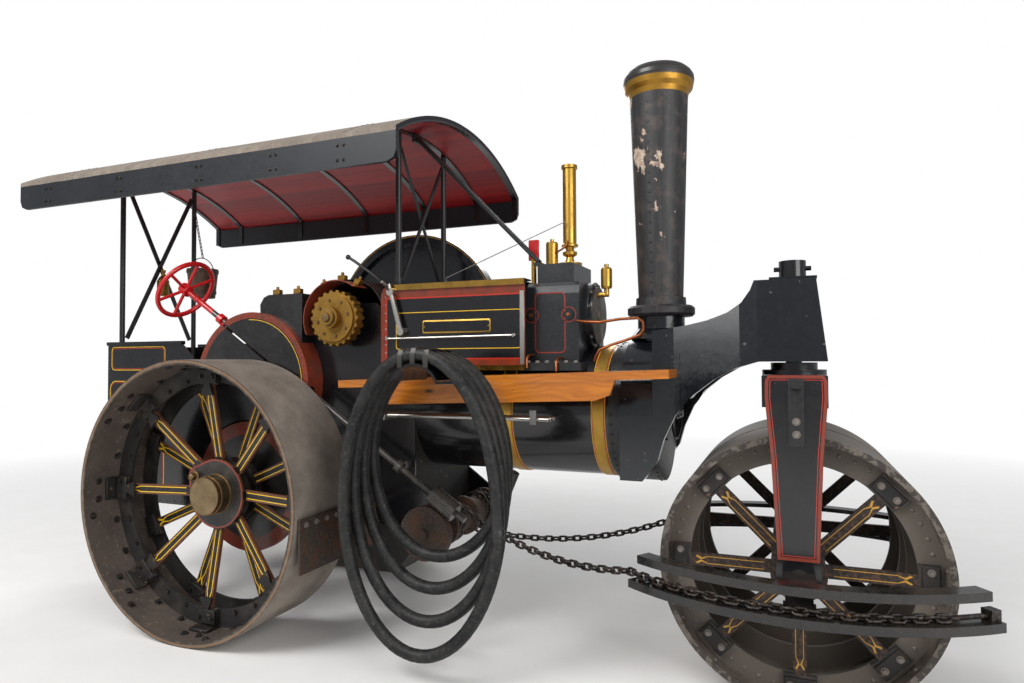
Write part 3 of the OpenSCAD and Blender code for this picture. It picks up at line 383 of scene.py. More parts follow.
@dataclass(frozen=True)
class SpokeColours(Finish):
    """The spokes, hub and hub plate of a wheel: a dark face with brown sides, by angle round the hub."""

    x: float = REAR_X
    z: float = REAR_R
    face: str = "1d1a19"
    side: str = "6d4330"
    side_start: float = 0.0245
    hub_r: float = 0.212
    cap_r: float = 0.0
    cap_y: float = 0.0
    rim_y: float = 0.0

    def mix(self, r: Recipe) -> None:
        """Sets up the nodes."""
        radius = r.radius(self.x, self.z)
        angle = r.calc("ARCTAN2", r.minus(r.z, self.z), r.minus(r.x, self.x))
        across = r.across()
        turn = r.times(r.step(across, 0.74, 0.73), math.radians(22.5)) if self.cap_r else 0.0
        eighth = math.pi / 4
        off = r.calc("PINGPONG", r.plus(r.minus(angle, turn), 8 * eighth), eighth / 2)
        aside = r.times(radius, r.calc("SINE", off))
        clouds, fine = r.noise(9, 6), r.noise(60, 5)
        edge = r.wash(tint(self.side), fine, 0.5, 0.7, "8c6448", 0.5)
        tone = r.blend(r.step(aside, self.side_start - 0.0008, self.side_start + 0.0008), tint(self.face), edge)
        black = r.wash(tint("1b1a1a"), clouds, 0.42, 0.7, "5c534a", 0.5)
        plain = r.calc("MAXIMUM", r.step(radius, self.hub_r + 0.002, self.hub_r),
                       r.step(radius, self.rim_y - 0.001, self.rim_y + 0.001))
        tone = r.blend(plain, tone, black)
        tone = r.wash(tone, fine, 0.52, 0.72, "766a5c", 0.22)
        gloss: Feed = r.scaled(r.step(clouds, 0.4, 0.7), 0.25, 0.34)
        if self.cap_r:
            cap = r.times(r.step(radius, self.cap_r + 0.001, self.cap_r),
                         r.step(across, self.cap_y - 0.0005, self.cap_y + 0.0005))
            worn = r.wash(tint("8f7a5c"), clouds, 0.35, 0.7, "64543e")
            rings = r.noise(240, 2, (1, 0.02, 1))
            tone = r.blend(cap, tone, r.blend(r.times(rings, 0.3), worn, tint("b7a27f")))
            gloss = r.scaled(cap, -0.06, gloss)
            r.feed(r.shader.inputs["Metallic"], cap)
        r.finish(tone, gloss, r.plus(clouds, fine), 0.0012)


@dataclass(frozen=True)
class Felt(Finish):
    """Roofing felt: grit, run marks down to the eaves and bare grey patches."""

    def mix(self, r: Recipe) -> None:
        """Sets up the nodes."""
        grit, clouds = r.noise(150, 6), r.noise(3, 7)
        runs = r.noise(14, 5, (1.0, 0.12, 0.12), 4.0)
        tone = r.wash(tint("8d8175"), clouds, 0.35, 0.7, "766b60")
        tone = r.wash(tone, runs, 0.48, 0.7, "a4988a", 0.5)
        tone = r.wash(tone, grit, 0.5, 0.66, "57504a", 0.55)
        under = self.boards(r)
        below = r.step(r.facing[2], -0.1, -0.2)
        rim = r.step(r.calc("ABSOLUTE", r.facing[0]), 0.9, 0.95)
        tone = r.blend(rim, r.blend(below, tone, under), tint("23262c"))
        rough = r.scaled(below, -0.5, 0.9)
        r.finish(tone, rough, grit, 0.002)

    @staticmethod
    def boards(r: Recipe) -> Socket:
        """Returns the colour of the red boards under the roof, laid lengthwise."""
        row = r.calc("PINGPONG", r.y, 0.0475)
        gap = r.step(row, 0.0022, 0.0008)
        number = r.calc("FLOOR", r.calc("DIVIDE", r.plus(r.y, 10.0), 0.095))
        shade = r.calc("FRACT", r.times(r.calc("SINE", r.times(number, 12.9)), 43.7))
        grain = r.noise(26, 6, (0.08, 1, 1))
        tone = r.blend(shade, tint("a51a1c"), tint("82151a"))
        tone = r.wash(tone, grain, 0.45, 0.7, "5c1013", 0.35)
        return r.blend(gap, tone, tint("2c0a0b"))


@dataclass(frozen=True)
class VarnishedPine(Finish):
    """Orange varnished pine, with long grain, knots and dark dents."""

    def mix(self, r: Recipe) -> None:
        """Sets up the nodes."""
        sway = r.noise(2.5, 3, (0.35, 1, 1))
        long = r.noise(20, 7, (0.06, 1.0, 1.0))
        lines = r.calc("PINGPONG", r.scaled(sway, 0.9, r.times(r.plus(r.y, r.z), 2.0)), 0.035)
        knots = r.step(r.specks(5.0, (0.45, 1.3, 1.3)), 0.1, 0.035)
        tone = r.wash(tint("c9781c"), long, 0.36, 0.66, "a35a12")
        tone = r.wash(tone, lines, 0.012, 0.03, "8a470d", 0.35)
        tone = r.blend(knots, tone, tint("3f1f0b"))
        dents = r.step(r.noise(34, 4, (0.5, 1, 1), 7.0), 0.68, 0.72)
        tone = r.blend(r.times(dents, 0.8), tone, tint("2f1a0d"))
        r.finish(tone, r.scaled(long, 0.2, 0.28), long, 0.0006,
                 {"Coat Weight": 0.6, "Coat Roughness": 0.1})


@dataclass(frozen=True)
class ChimneyPaint(Finish):
    """Dull black paint that heat has lifted in ragged patches down one side, over pale old coats."""

    def mix(self, r: Recipe) -> None:
        """Sets up the nodes."""
        ragged = r.noise(8, 10, (1, 1, 0.7), 1.7)
        streaks = r.noise(22, 6, (1.5, 1.5, 0.12))
        side = r.step(r.minus(r.times(r.y, -1.0), r.times(r.x, 0.2)), -0.22, -0.12)
        high = r.within(r.z, 2.32, 3.16, 0.2)
        where = r.times(side, high)
        lifted = r.step(r.plus(ragged, r.times(where, 0.06)), 0.64, 0.652)
        tone = r.wash(tint("1b1b1e"), streaks, 0.4, 0.7, "363331")
        tone = r.wash(tone, r.noise(11, 6), 0.5, 0.7, "5a4b43", 0.6)
        pale = r.wash(tint("c3b09c"), r.noise(40, 4), 0.45, 0.6, "8d7468")
        tone = r.blend(lifted, tone, pale)
        height = r.minus(streaks, r.times(lifted, 1.0))
        r.finish(tone, r.scaled(lifted, 0.25, 0.5), height, 0.0015)


@dataclass(frozen=True)
class HoseRubber(Finish):
    """Armoured rubber hose: dusty dark grey, scuffed along its length and faintly ringed by its wire."""

    def mix(self, r: Recipe) -> None:
        """Sets up the nodes; `along` is the length from the hose's end, written on its points."""
        along = r.node("ShaderNodeAttribute", {"attribute_name": "along"}).outputs["Fac"]
        ribs = r.calc("PINGPONG", along, 0.011)
        dust, scuffs = r.noise(12, 6), r.noise(55, 7, shift=5.0)
        up = r.step(r.facing[2], -0.4, 0.9)
        share = r.times(r.step(dust, 0.36, 0.7), r.scaled(up, 0.55, 0.3))
        tone = r.blend(share, tint("141516"), tint("3f3d3a"))
        tone = r.wash(tone, scuffs, 0.56, 0.68, "5a5650", 0.5)
        tone = r.wash(tone, scuffs, 0.42, 0.34, "0c0c0d", 0.5)
        r.finish(tone, 0.5, r.scaled(ribs, 60.0, scuffs), 0.001, {"Specular IOR Level": 0.3})


@dataclass(frozen=True)
class Planks(Finish):
    """Old staves or boards: dark, dry and grey-brown."""

    colour: str = "5e4a38"

    def mix(self, r: Recipe) -> None:
        """Sets up the nodes."""
        grain = r.noise(40, 6, (1, 1, 0.15))
        tone = r.wash(tint(self.colour), grain, 0.38, 0.66, "3a2c20")
        r.finish(tone, 0.75, grain, 0.001)


BLACK = Enamel("black_gloss", "0d0d11", dust=0.1, gloss=0.16, coat=0.35)
SATIN = Enamel("black_satin", "121214", dust=0.22, gloss=0.36, coat=0.1)
GRIMY = Enamel("black_grimy", "171514", "5c5146", 0.55, 0.55, 0.4, "6a5546", 0.0)
NECK = Enamel("neck_blue_black", "0d1015", "41474c", 0.16, 0.15, 0.3, "4c5054", 0.35)
CASTING = Enamel("cylinder_grey_black", "1e2023", "4c4a47", 0.35, 0.26, 0.05, "5a5550", 0.25, slot="cylinder_grey")
TERRACOTTA = Enamel("terracotta_red", "80301f", "6a4a3c", 0.3, 0.32, 0.1, "5a3a2c", slot="red_paint")
LINE_RED = Enamel("lining_red", "b8301d", dust=0.08, gloss=0.3, slot="red_paint")
LINE_YELLOW = Enamel("lining_yellow", "e8b81e", dust=0.06, gloss=0.3, slot="brass")
LINE_GOLD = Enamel("lining_old_gold", "b98a2e", "6b5a40", 0.3, 0.4, slot="brass")
WHEEL_RED = Enamel("hand_wheel_red", "c4181c", "7c2a24", 0.15, 0.22, 0.12, "6d1a18", 0.4, slot="red_paint")
BOARD = Enamel("canopy_slate", "0f1319", "33373d", 0.25, 0.36, 0.1, "5e6268", 0.1, slot="board_paint")
BRASS = Metal("yellow_brass", "c9a04c", "7a5a26", 0.4, 0.24, slot="brass")
OLD_BRASS = Metal("old_brass", "a5803f", "5a4222", 0.7, 0.34, slot="brass")
BRONZE = Metal("bronze", "8c7352", "4d3d2b", 0.6, 0.36, slot="brass")
COPPER = Metal("copper", "b36a42", "5b3222", 0.5, 0.3, slot="brass")
STEEL = Metal("polished_steel", "b9b6b0", "77716a", 0.4, 0.24, (6.0, 1.0, 1.0), slot="bright_steel")
DULL_STEEL = Metal("dull_steel", "8a857d", "4c4641", 0.7, 0.42, (1.0, 6.0, 1.0), slot="bright_steel")
CHAIN = WornIron("chain_iron", "231f1d", "80766b", "5a3b27", 0.45, 0.25, 0.4, slot="dark_iron")
RUSTED = WornIron("rusty_iron", "3d332c", "6d5f52", "6b3f25", 0.4, 0.6, 0.6, slot="dark_iron")
BOLT = WornIron("bolt_iron", "252321", "6e665e", "4d3a2d", 0.4, 0.3, 0.42, slot="dark_iron")
PALE_BOLT = WornIron("pale_bolts", "77706a", "9a938a", "6b4f3c", 0.5, 0.3, 0.45, slot="dark_iron")


# Shapes


def seat(point: Point, out: Point, top: Point = (0, 0, 1)) -> Matrix:
    """Places a fitting on a surface.

    Args:
        point: Where its foot stands.
        out: The way its Z axis points, out of the surface.
        top: The way its Y axis leans.

    Returns:
        The placing as a matrix.
    """
    z = Vector(out).normalized()
    y = Vector(top) - z * z.dot(Vector(top))
    if y.length < 0.01:
        y = Vector((0, 1, 0)) if abs(z.y) < 0.9 else Vector((1, 0, 0))
        y -= z * z.dot(y)
    y.normalize()
    placing = Matrix((y.cross(z), y, z)).transposed().to_4x4()
    placing.translation = Vector(point)
    return placing


def moved(place: Matrix, x: float, y: float, z: float) -> Matrix:
    """Returns a placing moved along its own axes."""
    return place @ Matrix.Translation((x, y, z))


SIDES = (-1, 1)
NEAR = (0, -1, 0)
FAR = (0, 1, 0)
AHEAD = (1, 0, 0)
ASTERN = (-1, 0, 0)
UP = (0, 0, 1)
DOWN = (0, 0, -1)


class Head(Enum):
    """Kinds of fastener, by their sides, the width of their foot and of their top, and their height."""

    HEX = (6, 1.0, 0.94, 0.8)
    RIVET = (9, 1.0, 0.5, 0.55)
    PAN = (8, 1.0, 0.9, 0.4)


class Shape:
    """A piece in the making. Each call adds a part, and `piece` hands the whole to a body of the machine."""

    def __init__(self) -> None:
        """Starts with nothing in it."""
        self.whole = bmesh.new()

    def put(self, part: bmesh.types.BMesh, *places: Matrix) -> "Shape":
        """Closes a part's seams, turns its faces outwards and adds a copy of it at each place.

        Args:
            part: The part, which is used up.
            places: Where the copies stand.

        Returns:
            The shape itself, for the next call.
        """
        bmesh.ops.remove_doubles(part, verts=part.verts, dist=1e-6)
        bmesh.ops.recalc_face_normals(part, faces=part.faces)
        for place in places:
            scrap = bpy.data.meshes.new("scrap")
            part.to_mesh(scrap)
            scrap.transform(place)
            self.whole.from_mesh(scrap)
            bpy.data.meshes.remove(scrap)
        part.free()
        return self

    def turned(self, outline: Iterable[tuple[float, float]], *places: Matrix, steps: int = 32,
               closed: bool = False) -> "Shape":
        """Turns an outline round its Z axis, as on a lathe.

        Args:
            outline: Its points as (radius, height).
            places: Where the turned parts stand.
            steps: Faces round the axis.
            closed: Whether the outline's end joins its start, as on a ring.

        Returns:
            The shape itself.
        """
        part = bmesh.new()
        line = [part.verts.new((r, 0, h)) for r, h in outline]
        pairs = list(zip(line, line[1:])) + ([(line[-1], line[0])] if closed else [])
        edges = [part.edges.new(pair) for pair in pairs]
        bmesh.ops.spin(part, geom=line + edges, cent=(0, 0, 0), axis=(0, 0, 1), angle=math.tau, steps=steps,
                       use_merge=True)
        return self.put(part, *places)

    def arc(self, outline: Iterable[tuple[float, float]], *places: Matrix, start: float = 0.0, spread: float = 180.0,
            steps: int = 32) -> "Shape":
        """Sweeps a closed outline part of the way round its Z axis and caps both ends.

        Args:
            outline: Its points as (radius, height).
            places: Where the arcs stand.
            start: The angle of the first end, in degrees from X.
            spread: The angle that it sweeps.
            steps: Faces along it.

        Returns:
            The shape itself.
        """
        part = bmesh.new()
        face = part.faces.new([part.verts.new((r, 0, h)) for r, h in outline])
        bmesh.ops.rotate(part, verts=part.verts, cent=(0, 0, 0), matrix=Matrix.Rotation(math.radians(start), 3, "Z"))
        bmesh.ops.spin(part, geom=[face], cent=(0, 0, 0), axis=(0, 0, 1), angle=math.radians(spread), steps=steps)
        return self.put(part, *places)

    def ring(self, radius: float, wire: float, *places: Matrix, steps: int = 32) -> "Shape":
        """Adds a ring of round wire."""
        corners = [(radius + wire * math.cos(a), wire * math.sin(a)) for a in (i * math.tau / 8 for i in range(8))]
        return self.turned(corners, *places, steps=steps, closed=True)

    def cone(self, foot: float, top: float, height: float, *places: Matrix, sides: int = 20) -> "Shape":
        """Adds a capped cone or cylinder that stands on its placing."""
        part = bmesh.new()
        bmesh.ops.create_cone(part, cap_ends=True, segments=sides, radius1=foot, radius2=top, depth=height)
        bmesh.ops.translate(part, vec=(0, 0, height / 2), verts=part.verts)
        return self.put(part, *places)

    def ball(self, radius: float, *places: Matrix) -> "Shape":
        """Adds a ball."""
        part = bmesh.new()
        bmesh.ops.create_uvsphere(part, u_segments=18, v_segments=10, radius=radius)
        return self.put(part, *places)

    def block(self, size: Point, *places: Matrix, edge: float = 0.001) -> "Shape":
        """Adds a block with eased edges, middle on its placing and its foot at Z = 0."""
        part = bmesh.new()
        bmesh.ops.create_cube(part, size=1)
        bmesh.ops.scale(part, vec=size, verts=part.verts)
        bmesh.ops.translate(part, vec=(0, 0, size[2] / 2), verts=part.verts)
        bmesh.ops.bevel(part, geom=part.edges[:], offset=edge, segments=1, profile=0.5, affect="EDGES", material=-1)
        return self.put(part, *places)

    def plate(self, outline: Iterable[Point], thick: float, *places: Matrix, edge: float = 0.0) -> "Shape":
        """Cuts a plate to an outline.

        Args:
            outline: Its corners in the placing's X and Y.
            thick: Its thickness, towards Z.
            places: Where copies stand.
            edge: How far its upper edge is eased.

        Returns:
            The shape itself.
        """
        part = bmesh.new()
        face = part.faces.new([part.verts.new((p[0], p[1], 0)) for p in outline])
        up = bmesh.ops.extrude_face_region(part, geom=[face], use_keep_orig=True)["geom"]
        risen = [v for v in up if isinstance(v, bmesh.types.BMVert)]
        bmesh.ops.translate(part, vec=(0, 0, thick), verts=risen)
        if edge:
            rim = [e for e in part.edges if all(v in risen for v in e.verts)]
            bmesh.ops.bevel(part, geom=rim, offset=edge, segments=2, profile=0.5, affect="EDGES", material=-1)
        return self.put(part, *places)

    def lining(self, outline: Iterable[Point], width: float, *places: Matrix, rise: float = 0.0007) -> "Shape":
        """Lays a painted line along a closed outline, as a film that stands just proud.

        Args:
            outline: The line's outer corners in the placing's X and Y.
            width: The line's width, inwards.
            places: Where copies lie.
            rise: The film's thickness.

        Returns:
            The shape itself.
        """
        part = bmesh.new()
        face = part.faces.new([part.verts.new((p[0], p[1], 0)) for p in outline])
        face.normal_update()
        bmesh.ops.inset_individual(part, faces=[face], thickness=width, use_even_offset=True)
        bmesh.ops.delete(part, geom=[face], context="FACES_ONLY")
        up = bmesh.ops.extrude_face_region(part, geom=part.faces[:], use_keep_orig=True)["geom"]
        bmesh.ops.translate(part, vec=(0, 0, rise), verts=[v for v in up if isinstance(v, bmesh.types.BMVert)])
        return self.put(part, *places)

    def tube(self, path: Sequence[Point], radius: float, sides: int = 8) -> "Shape":
        """Draws a round bar or pipe along a path.

        Args:
            path: The points of its middle line, in the row frame.
            radius: Its radius.
            sides: Faces round it.

        Returns:
            The shape itself.
        """
        part = bmesh.new()
        points = [Vector(p) for p in path]
        last = len(points) - 1
        ways = [(points[min(i + 1, last)] - points[max(i - 1, 0)]).normalized() for i in range(len(points))]
        ring = bmesh.ops.create_circle(part, cap_ends=True, segments=sides, radius=radius)["verts"]
        bmesh.ops.transform(part, matrix=seat(points[0], ways[0]), verts=ring)
        rim = list({e for v in ring for e in v.link_edges})
        for i in range(1, len(points)):
            grown = bmesh.ops.extrude_edge_only(part, edges=rim)["geom"]
            ring = [g for g in grown if isinstance(g, bmesh.types.BMVert)]
            rim = [g for g in grown if isinstance(g, bmesh.types.BMEdge)]
            turn = ways[i - 1].rotation_difference(ways[i]).to_matrix().to_4x4()
            shift = Matrix.Translation(points[i]) @ turn @ Matrix.Translation(-points[i - 1])
            bmesh.ops.transform(part, matrix=shift, verts=ring)
        bmesh.ops.contextual_create(part, geom=rim)
        return self.put(part, Matrix())

    def link(self, pitch: float, width: float, wire: float, *places: Matrix) -> "Shape":
        """Adds an oval chain link that lies in its placing's XY plane, long way along X."""
        part = bmesh.new()
        ring = bmesh.ops.create_circle(part, cap_ends=False, segments=7, radius=wire)["verts"]
        bmesh.ops.rotate(part, verts=ring, cent=(0, 0, 0), matrix=Matrix.Rotation(math.pi / 2, 3, "X"))
        bmesh.ops.translate(part, verts=ring, vec=(width / 2, 0, 0))
        rim = part.edges[:]
        bmesh.ops.spin(part, geom=ring + rim, cent=(0, 0, 0), axis=(0, 0, 1), angle=math.tau, steps=16, use_merge=True)
        straight = (pitch - width) / 2 + wire
        for vertex in part.verts:
            vertex.co.y += math.copysign(straight, vertex.co.y) if abs(vertex.co.y) > 1e-5 else 0.0
        bmesh.ops.rotate(part, verts=part.verts, cent=(0, 0, 0), matrix=Matrix.Rotation(math.pi / 2, 3, "Z"))
        return self.put(part, *places)

    def heads(self, kind: Head, size: float, *places: Matrix, washer: float = 0.0) -> "Shape":
        """Adds bolt heads or rivets.

        Args:
            kind: Their form.
            size: Their radius.
            places: Where they stand.
            washer: The radius of a washer under each, or 0.

        Returns:
            The shape itself.
        """
        sides, foot, top, high = kind.value
        lift = 0.15 * size if washer else 0.0
        if washer:
            self.cone(washer, washer * 0.96, lift, *places, sides=12)
        lifted = [moved(place, 0, 0, lift) for place in places]
        return self.cone(size * foot, size * top, size * high, *lifted, sides=sides)

    def piece(self, name: str, finish: Finish, body: str = "machine", instead_of: Sequence[str] = (),
              smooth: float = 38.0) -> bpy.types.Object:
        """Hands the shape over as a piece of the machine.

        Args:
            name: The piece's name.
            finish: Its finish.
            body: The body that it moves with.
            instead_of: The nodes that it stands for.
            smooth: The angle, in degrees, up to which its faces shade as one.

        Returns:
            The new object.
        """
        mesh = bpy.data.meshes.new(name)
        self.whole.to_mesh(mesh)
        self.whole.free()
        mesh.shade_smooth()
        mesh.set_sharp_from_angle(angle=math.radians(smooth))
        mesh.materials.append(finish.material())
        made = bpy.data.objects.new(name, mesh)
        bpy.context.scene.collection.objects.link(made)
        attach(made, body)
        if instead_of:
            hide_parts(*instead_of)
        log.info("%s: %d faces on %s", name, len(mesh.polygons), body)
        return made


def coat(finish: Finish, *nodes: str) -> None:
    """Gives CAD nodes a finish on every slot that they have."""
    for name in nodes:
        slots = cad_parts[name].material_slots
        for place in slots:
            place.material = finish.material()
        log.info("%s: %s", name, finish.name)


def rounded(x0: float, y0: float, x1: float, y1: float, corner: float) -> Outline:
    """Returns the outline of a rectangle with round corners, anticlockwise."""
    steps = 5
    out = []
    for cx, cy, start in ((x1 - corner, y1 - corner, 0), (x0 + corner, y1 - corner, 90),
                          (x0 + corner, y0 + corner, 180), (x1 - corner, y0 + corner, 270)):
        for i in range(steps + 1):
            a = math.radians(start + 90 * i / steps)
            out.append((cx + corner * math.cos(a), cy + corner * math.sin(a)))
    return out


def disc(radius: float, steps: int) -> Outline:
    """Returns the outline of a circle."""
    return [(radius * math.cos(math.tau * i / steps), radius * math.sin(math.tau * i / steps)) for i in range(steps)]


def on_side(x: float, z: float, y: float) -> Matrix:
    """Places a fitting on a face across the machine: its X runs ahead on the near side, its Y up."""
    return seat(spot(x, y, z), NEAR if y < 0 else FAR)


def front_face(y: float, z: float, x: float) -> Matrix:
    """Places a fitting on a face that looks ahead."""
    return seat(spot(x, y, z), AHEAD)


def round_axis(x: float, z: float, y: float, radius: float, count: int, start: float = 0.0,
               spread: float = 360.0) -> list[Matrix]:
    """Places fittings on a circle on a side face, round an axis across the machine.

    Args:
        x: The axis, ahead of the rear axle.
        z: Its height.
        y: The face's place across the machine.
        radius: The circle's radius.
        count: How many fittings.
        start: The first one's angle in degrees.
        spread: The angle that they share.

    Returns:
        Their placings.
    """
    angles = [math.radians(start + spread * i / count) for i in range(count)]
    return [on_side(x + radius * math.cos(a), z + radius * math.sin(a), y) for a in angles]


# Finishes that change colour by place


@dataclass(frozen=True)
class RollColours(RollingRim):
    """A front roll: rim, dusty ring plates, black foot plates, and brown-black spokes and hub."""

    def mix(self, r: Recipe) -> None:
        """Sets up the nodes."""
        super().mix(r)
        radius = r.radius(self.x, self.r)
        across = r.across()
        clouds, fine = r.noise(8, 6), r.noise(55, 5)
        spokes = r.wash(tint("241d1a"), fine, 0.45, 0.7, "5e4332")
        plates = r.wash(tint("262423"), clouds, 0.4, 0.7, "4e463f")
        foot = r.times(r.step(across, 0.4632, 0.4636), r.step(radius, 0.6, 0.5985))
        tone = r.blend(foot, r.paint, plates)
        r.paint = r.blend(r.step(radius, 0.5055, 0.5045), tone, spokes)


@dataclass(frozen=True)
class Banded(Enamel):
    """Paint with a band of another colour between two distances from an axis across the machine."""

    x: float = 0.0
    z: float = 0.0
    start: float = 0.0
    end: float = 1.0
    band: str = "82331f"

    def mix(self, r: Recipe) -> None:
        """Sets up the nodes."""
        super().mix(r)
        radius = r.radius(self.x + REAR_X, self.z)
        fade = r.wash(tint(self.band), r.noise(14, 6), 0.45, 0.7, "5a3528")
        r.paint = r.blend(r.within(radius, self.start, self.end), r.paint, fade)


@dataclass(frozen=True)
class MotionPaint(Enamel):
    """The motion cover: black panel, terracotta border inside a red line, and brass mouldings."""

    def mix(self, r: Recipe) -> None:
        """Sets up the nodes."""
        super().mix(r)
        black = r.paint
        x, across = r.minus(r.x, REAR_X), r.across()
        panel = r.times(r.within(x, 0.985, 1.9), r.within(r.z, 1.675, 2.045))
        line = r.times(r.within(x, 0.977, 1.9), r.within(r.z, 1.667, 2.053))
        clouds = r.step(r.noise(16, 6), 0.45, 0.7)
        rust = r.blend(clouds, tint("82331f"), tint("643224"))
        tone = r.blend(line, rust, tint("b8301d"))
        tone = r.blend(panel, tone, black)
        tone = r.blend(r.step(across, 0.392, 0.3915), tone, black)
        brass = r.blend(r.times(clouds, 0.4), tint("c79a45"), tint("8a6630"))
        moulding = r.times(r.step(across, 0.3942, 0.3948), r.step(x, 0.96, 0.97))
        r.paint = r.blend(moulding, tone, brass)
        r.feed(r.shader.inputs["Metallic"], moulding)


@dataclass(frozen=True)
class CapMetal(Metal):
    """The chimney cap: a brass band below a dark rolled lip."""

    parting: float = 3.292

    def mix(self, r: Recipe) -> None:
        """Sets up the nodes."""
        super().mix(r)
        soot = r.step(r.z, self.parting - 0.004, self.parting + 0.004)
        r.paint = r.blend(soot, r.paint, tint("2b2725"))
        r.feed(r.shader.inputs["Metallic"], r.minus(1.0, soot))


@dataclass(frozen=True)
class ColumnPaint(Enamel):
    """The steering shaft: red by the hand wheel, oily dark steel ahead of it."""

    parting: float = 0.0

    def mix(self, r: Recipe) -> None:
        """Sets up the nodes."""
        super().mix(r)
        steel = r.wash(tint("4a4540"), r.noise(30, 6), 0.4, 0.7, "2c2927")
        ahead = r.step(r.x, self.parting + REAR_X, self.parting + REAR_X + 0.004)
        r.paint = r.blend(ahead, r.paint, steel)


# The studio


@dataclass
class Studio:
    """Camera at the photograph's viewing angle, pale floor and soft lamps."""

    eye: Vector = field(default_factory=lambda: spot(3.31253, -4.04695, 1.66495))
    right: Vector = field(default_factory=lambda: Vector((0.926797, 0.375517, -0.005793)))
    up: Vector = field(default_factory=lambda: Vector((0.015287, -0.02231, 0.999634)))
    lens: float = 23.806
    floor_half: float = 30.0
    middle: Vector = field(default_factory=lambda: Vector((0.3, 0, 1.4)))
    lamp_size: float = 5.0
    lamps: tuple[tuple[str, Point, float], ...] = (
        ("key", (-3.5, -7.5, 8.5), 850), ("fill", (7.5, -5.0, 4.5), 330), ("rim", (-2.0, 8.0, 7.0), 330))

    def place_camera(self) -> None:
        """Makes the scene's camera."""
        data = bpy.data.cameras.new("photo_view")
        data.sensor_width, data.lens, data.clip_end = 36.0, self.lens, 200.0
        camera = bpy.data.objects.new("photo_view", data)
        back = self.right.cross(self.up)
        camera.matrix_world = Matrix.Translation(self.eye) @ Matrix((self.right, self.up, back)).transposed().to_4x4()
        bpy.context.scene.collection.objects.link(camera)
        bpy.context.scene.camera = camera

    def pale_floor(self) -> bpy.types.Material:
        """Returns a floor paint that stays white to the camera but keeps the shadows."""
        r = Recipe("pale_floor")
        speckle = r.noise(3.0, 4)
        away = r.calc("SQRT", r.plus(r.times(r.x, r.x), r.times(r.y, r.y)))
        far = r.step(away, 4.5, 11.0)
        seen = r.node("ShaderNodeLightPath").outputs["Is Camera Ray"]
        white = r.times(far, seen)
        paint = r.wash(tint("f0eeeb"), speckle, 0.3, 0.7, "f4f2f0")
        r.finish(r.blend(white, paint, (0.0, 0.0, 0.0, 1.0)), 0.85, others={
            "Emission Color": (1.0, 1.0, 1.0, 1.0), "Emission Strength": white, "Specular IOR Level": 0.0})
        return r.material

    def lay_floor(self) -> None:
        """Lays the floor at Z = 0."""
        flat = bmesh.new()
        bmesh.ops.create_grid(flat, x_segments=1, y_segments=1, size=self.floor_half)
        mesh = bpy.data.meshes.new("floor")
        flat.to_mesh(mesh)
        flat.free()
        mesh.materials.append(self.pale_floor())
        floor = bpy.data.objects.new("floor", mesh)
        bpy.context.scene.collection.objects.link(floor)

    def lamp(self, name: str, place: Vector, power: float) -> None:
        """Hangs one soft square lamp that faces the middle of the machine.

        Args:
            name: Its name.
            place: Where it hangs.
            power: Its power in watts.
        """
        data = bpy.data.lights.new(name, "AREA")
        data.size, data.energy = self.lamp_size, power
        lamp = bpy.data.objects.new(name, data)
        turn = (place - self.middle).to_track_quat("Z", "Y").to_matrix().to_4x4()
        lamp.matrix_world = Matrix.Translation(place) @ turn
        bpy.context.scene.collection.objects.link(lamp)

    def light(self) -> None:
        """Hangs the lamps and sets the sky, which shows white to the camera and a dimmer pale blue to all other rays.
        """
        for name, place, power in self.lamps:
            self.lamp(name, Vector(place), power)
        world = bpy.data.worlds.new("sky")
        bpy.context.scene.world = world
        world.use_nodes = True
        tree = world.node_tree
        tree.nodes.clear()
        out, pick, rays = (tree.nodes.new(f"ShaderNode{kind}") for kind in ("OutputWorld", "MixShader", "LightPath"))
        tree.links.new(rays.outputs["Is Camera Ray"], pick.inputs[0])
        tree.links.new(pick.outputs[0], out.inputs[0])
        for place, colour, strength in ((1, (0.93, 0.96, 1.0, 1.0), 0.42), (2, (1.0, 1.0, 1.0, 1.0), 1.0)):
            glow = tree.nodes.new("ShaderNodeBackground")
            glow.inputs["Color"].default_value, glow.inputs["Strength"].default_value = colour, strength
            tree.links.new(glow.outputs[0], pick.inputs[place])
        bpy.context.scene.view_settings.view_transform = "Standard"


# Sub-assemblies


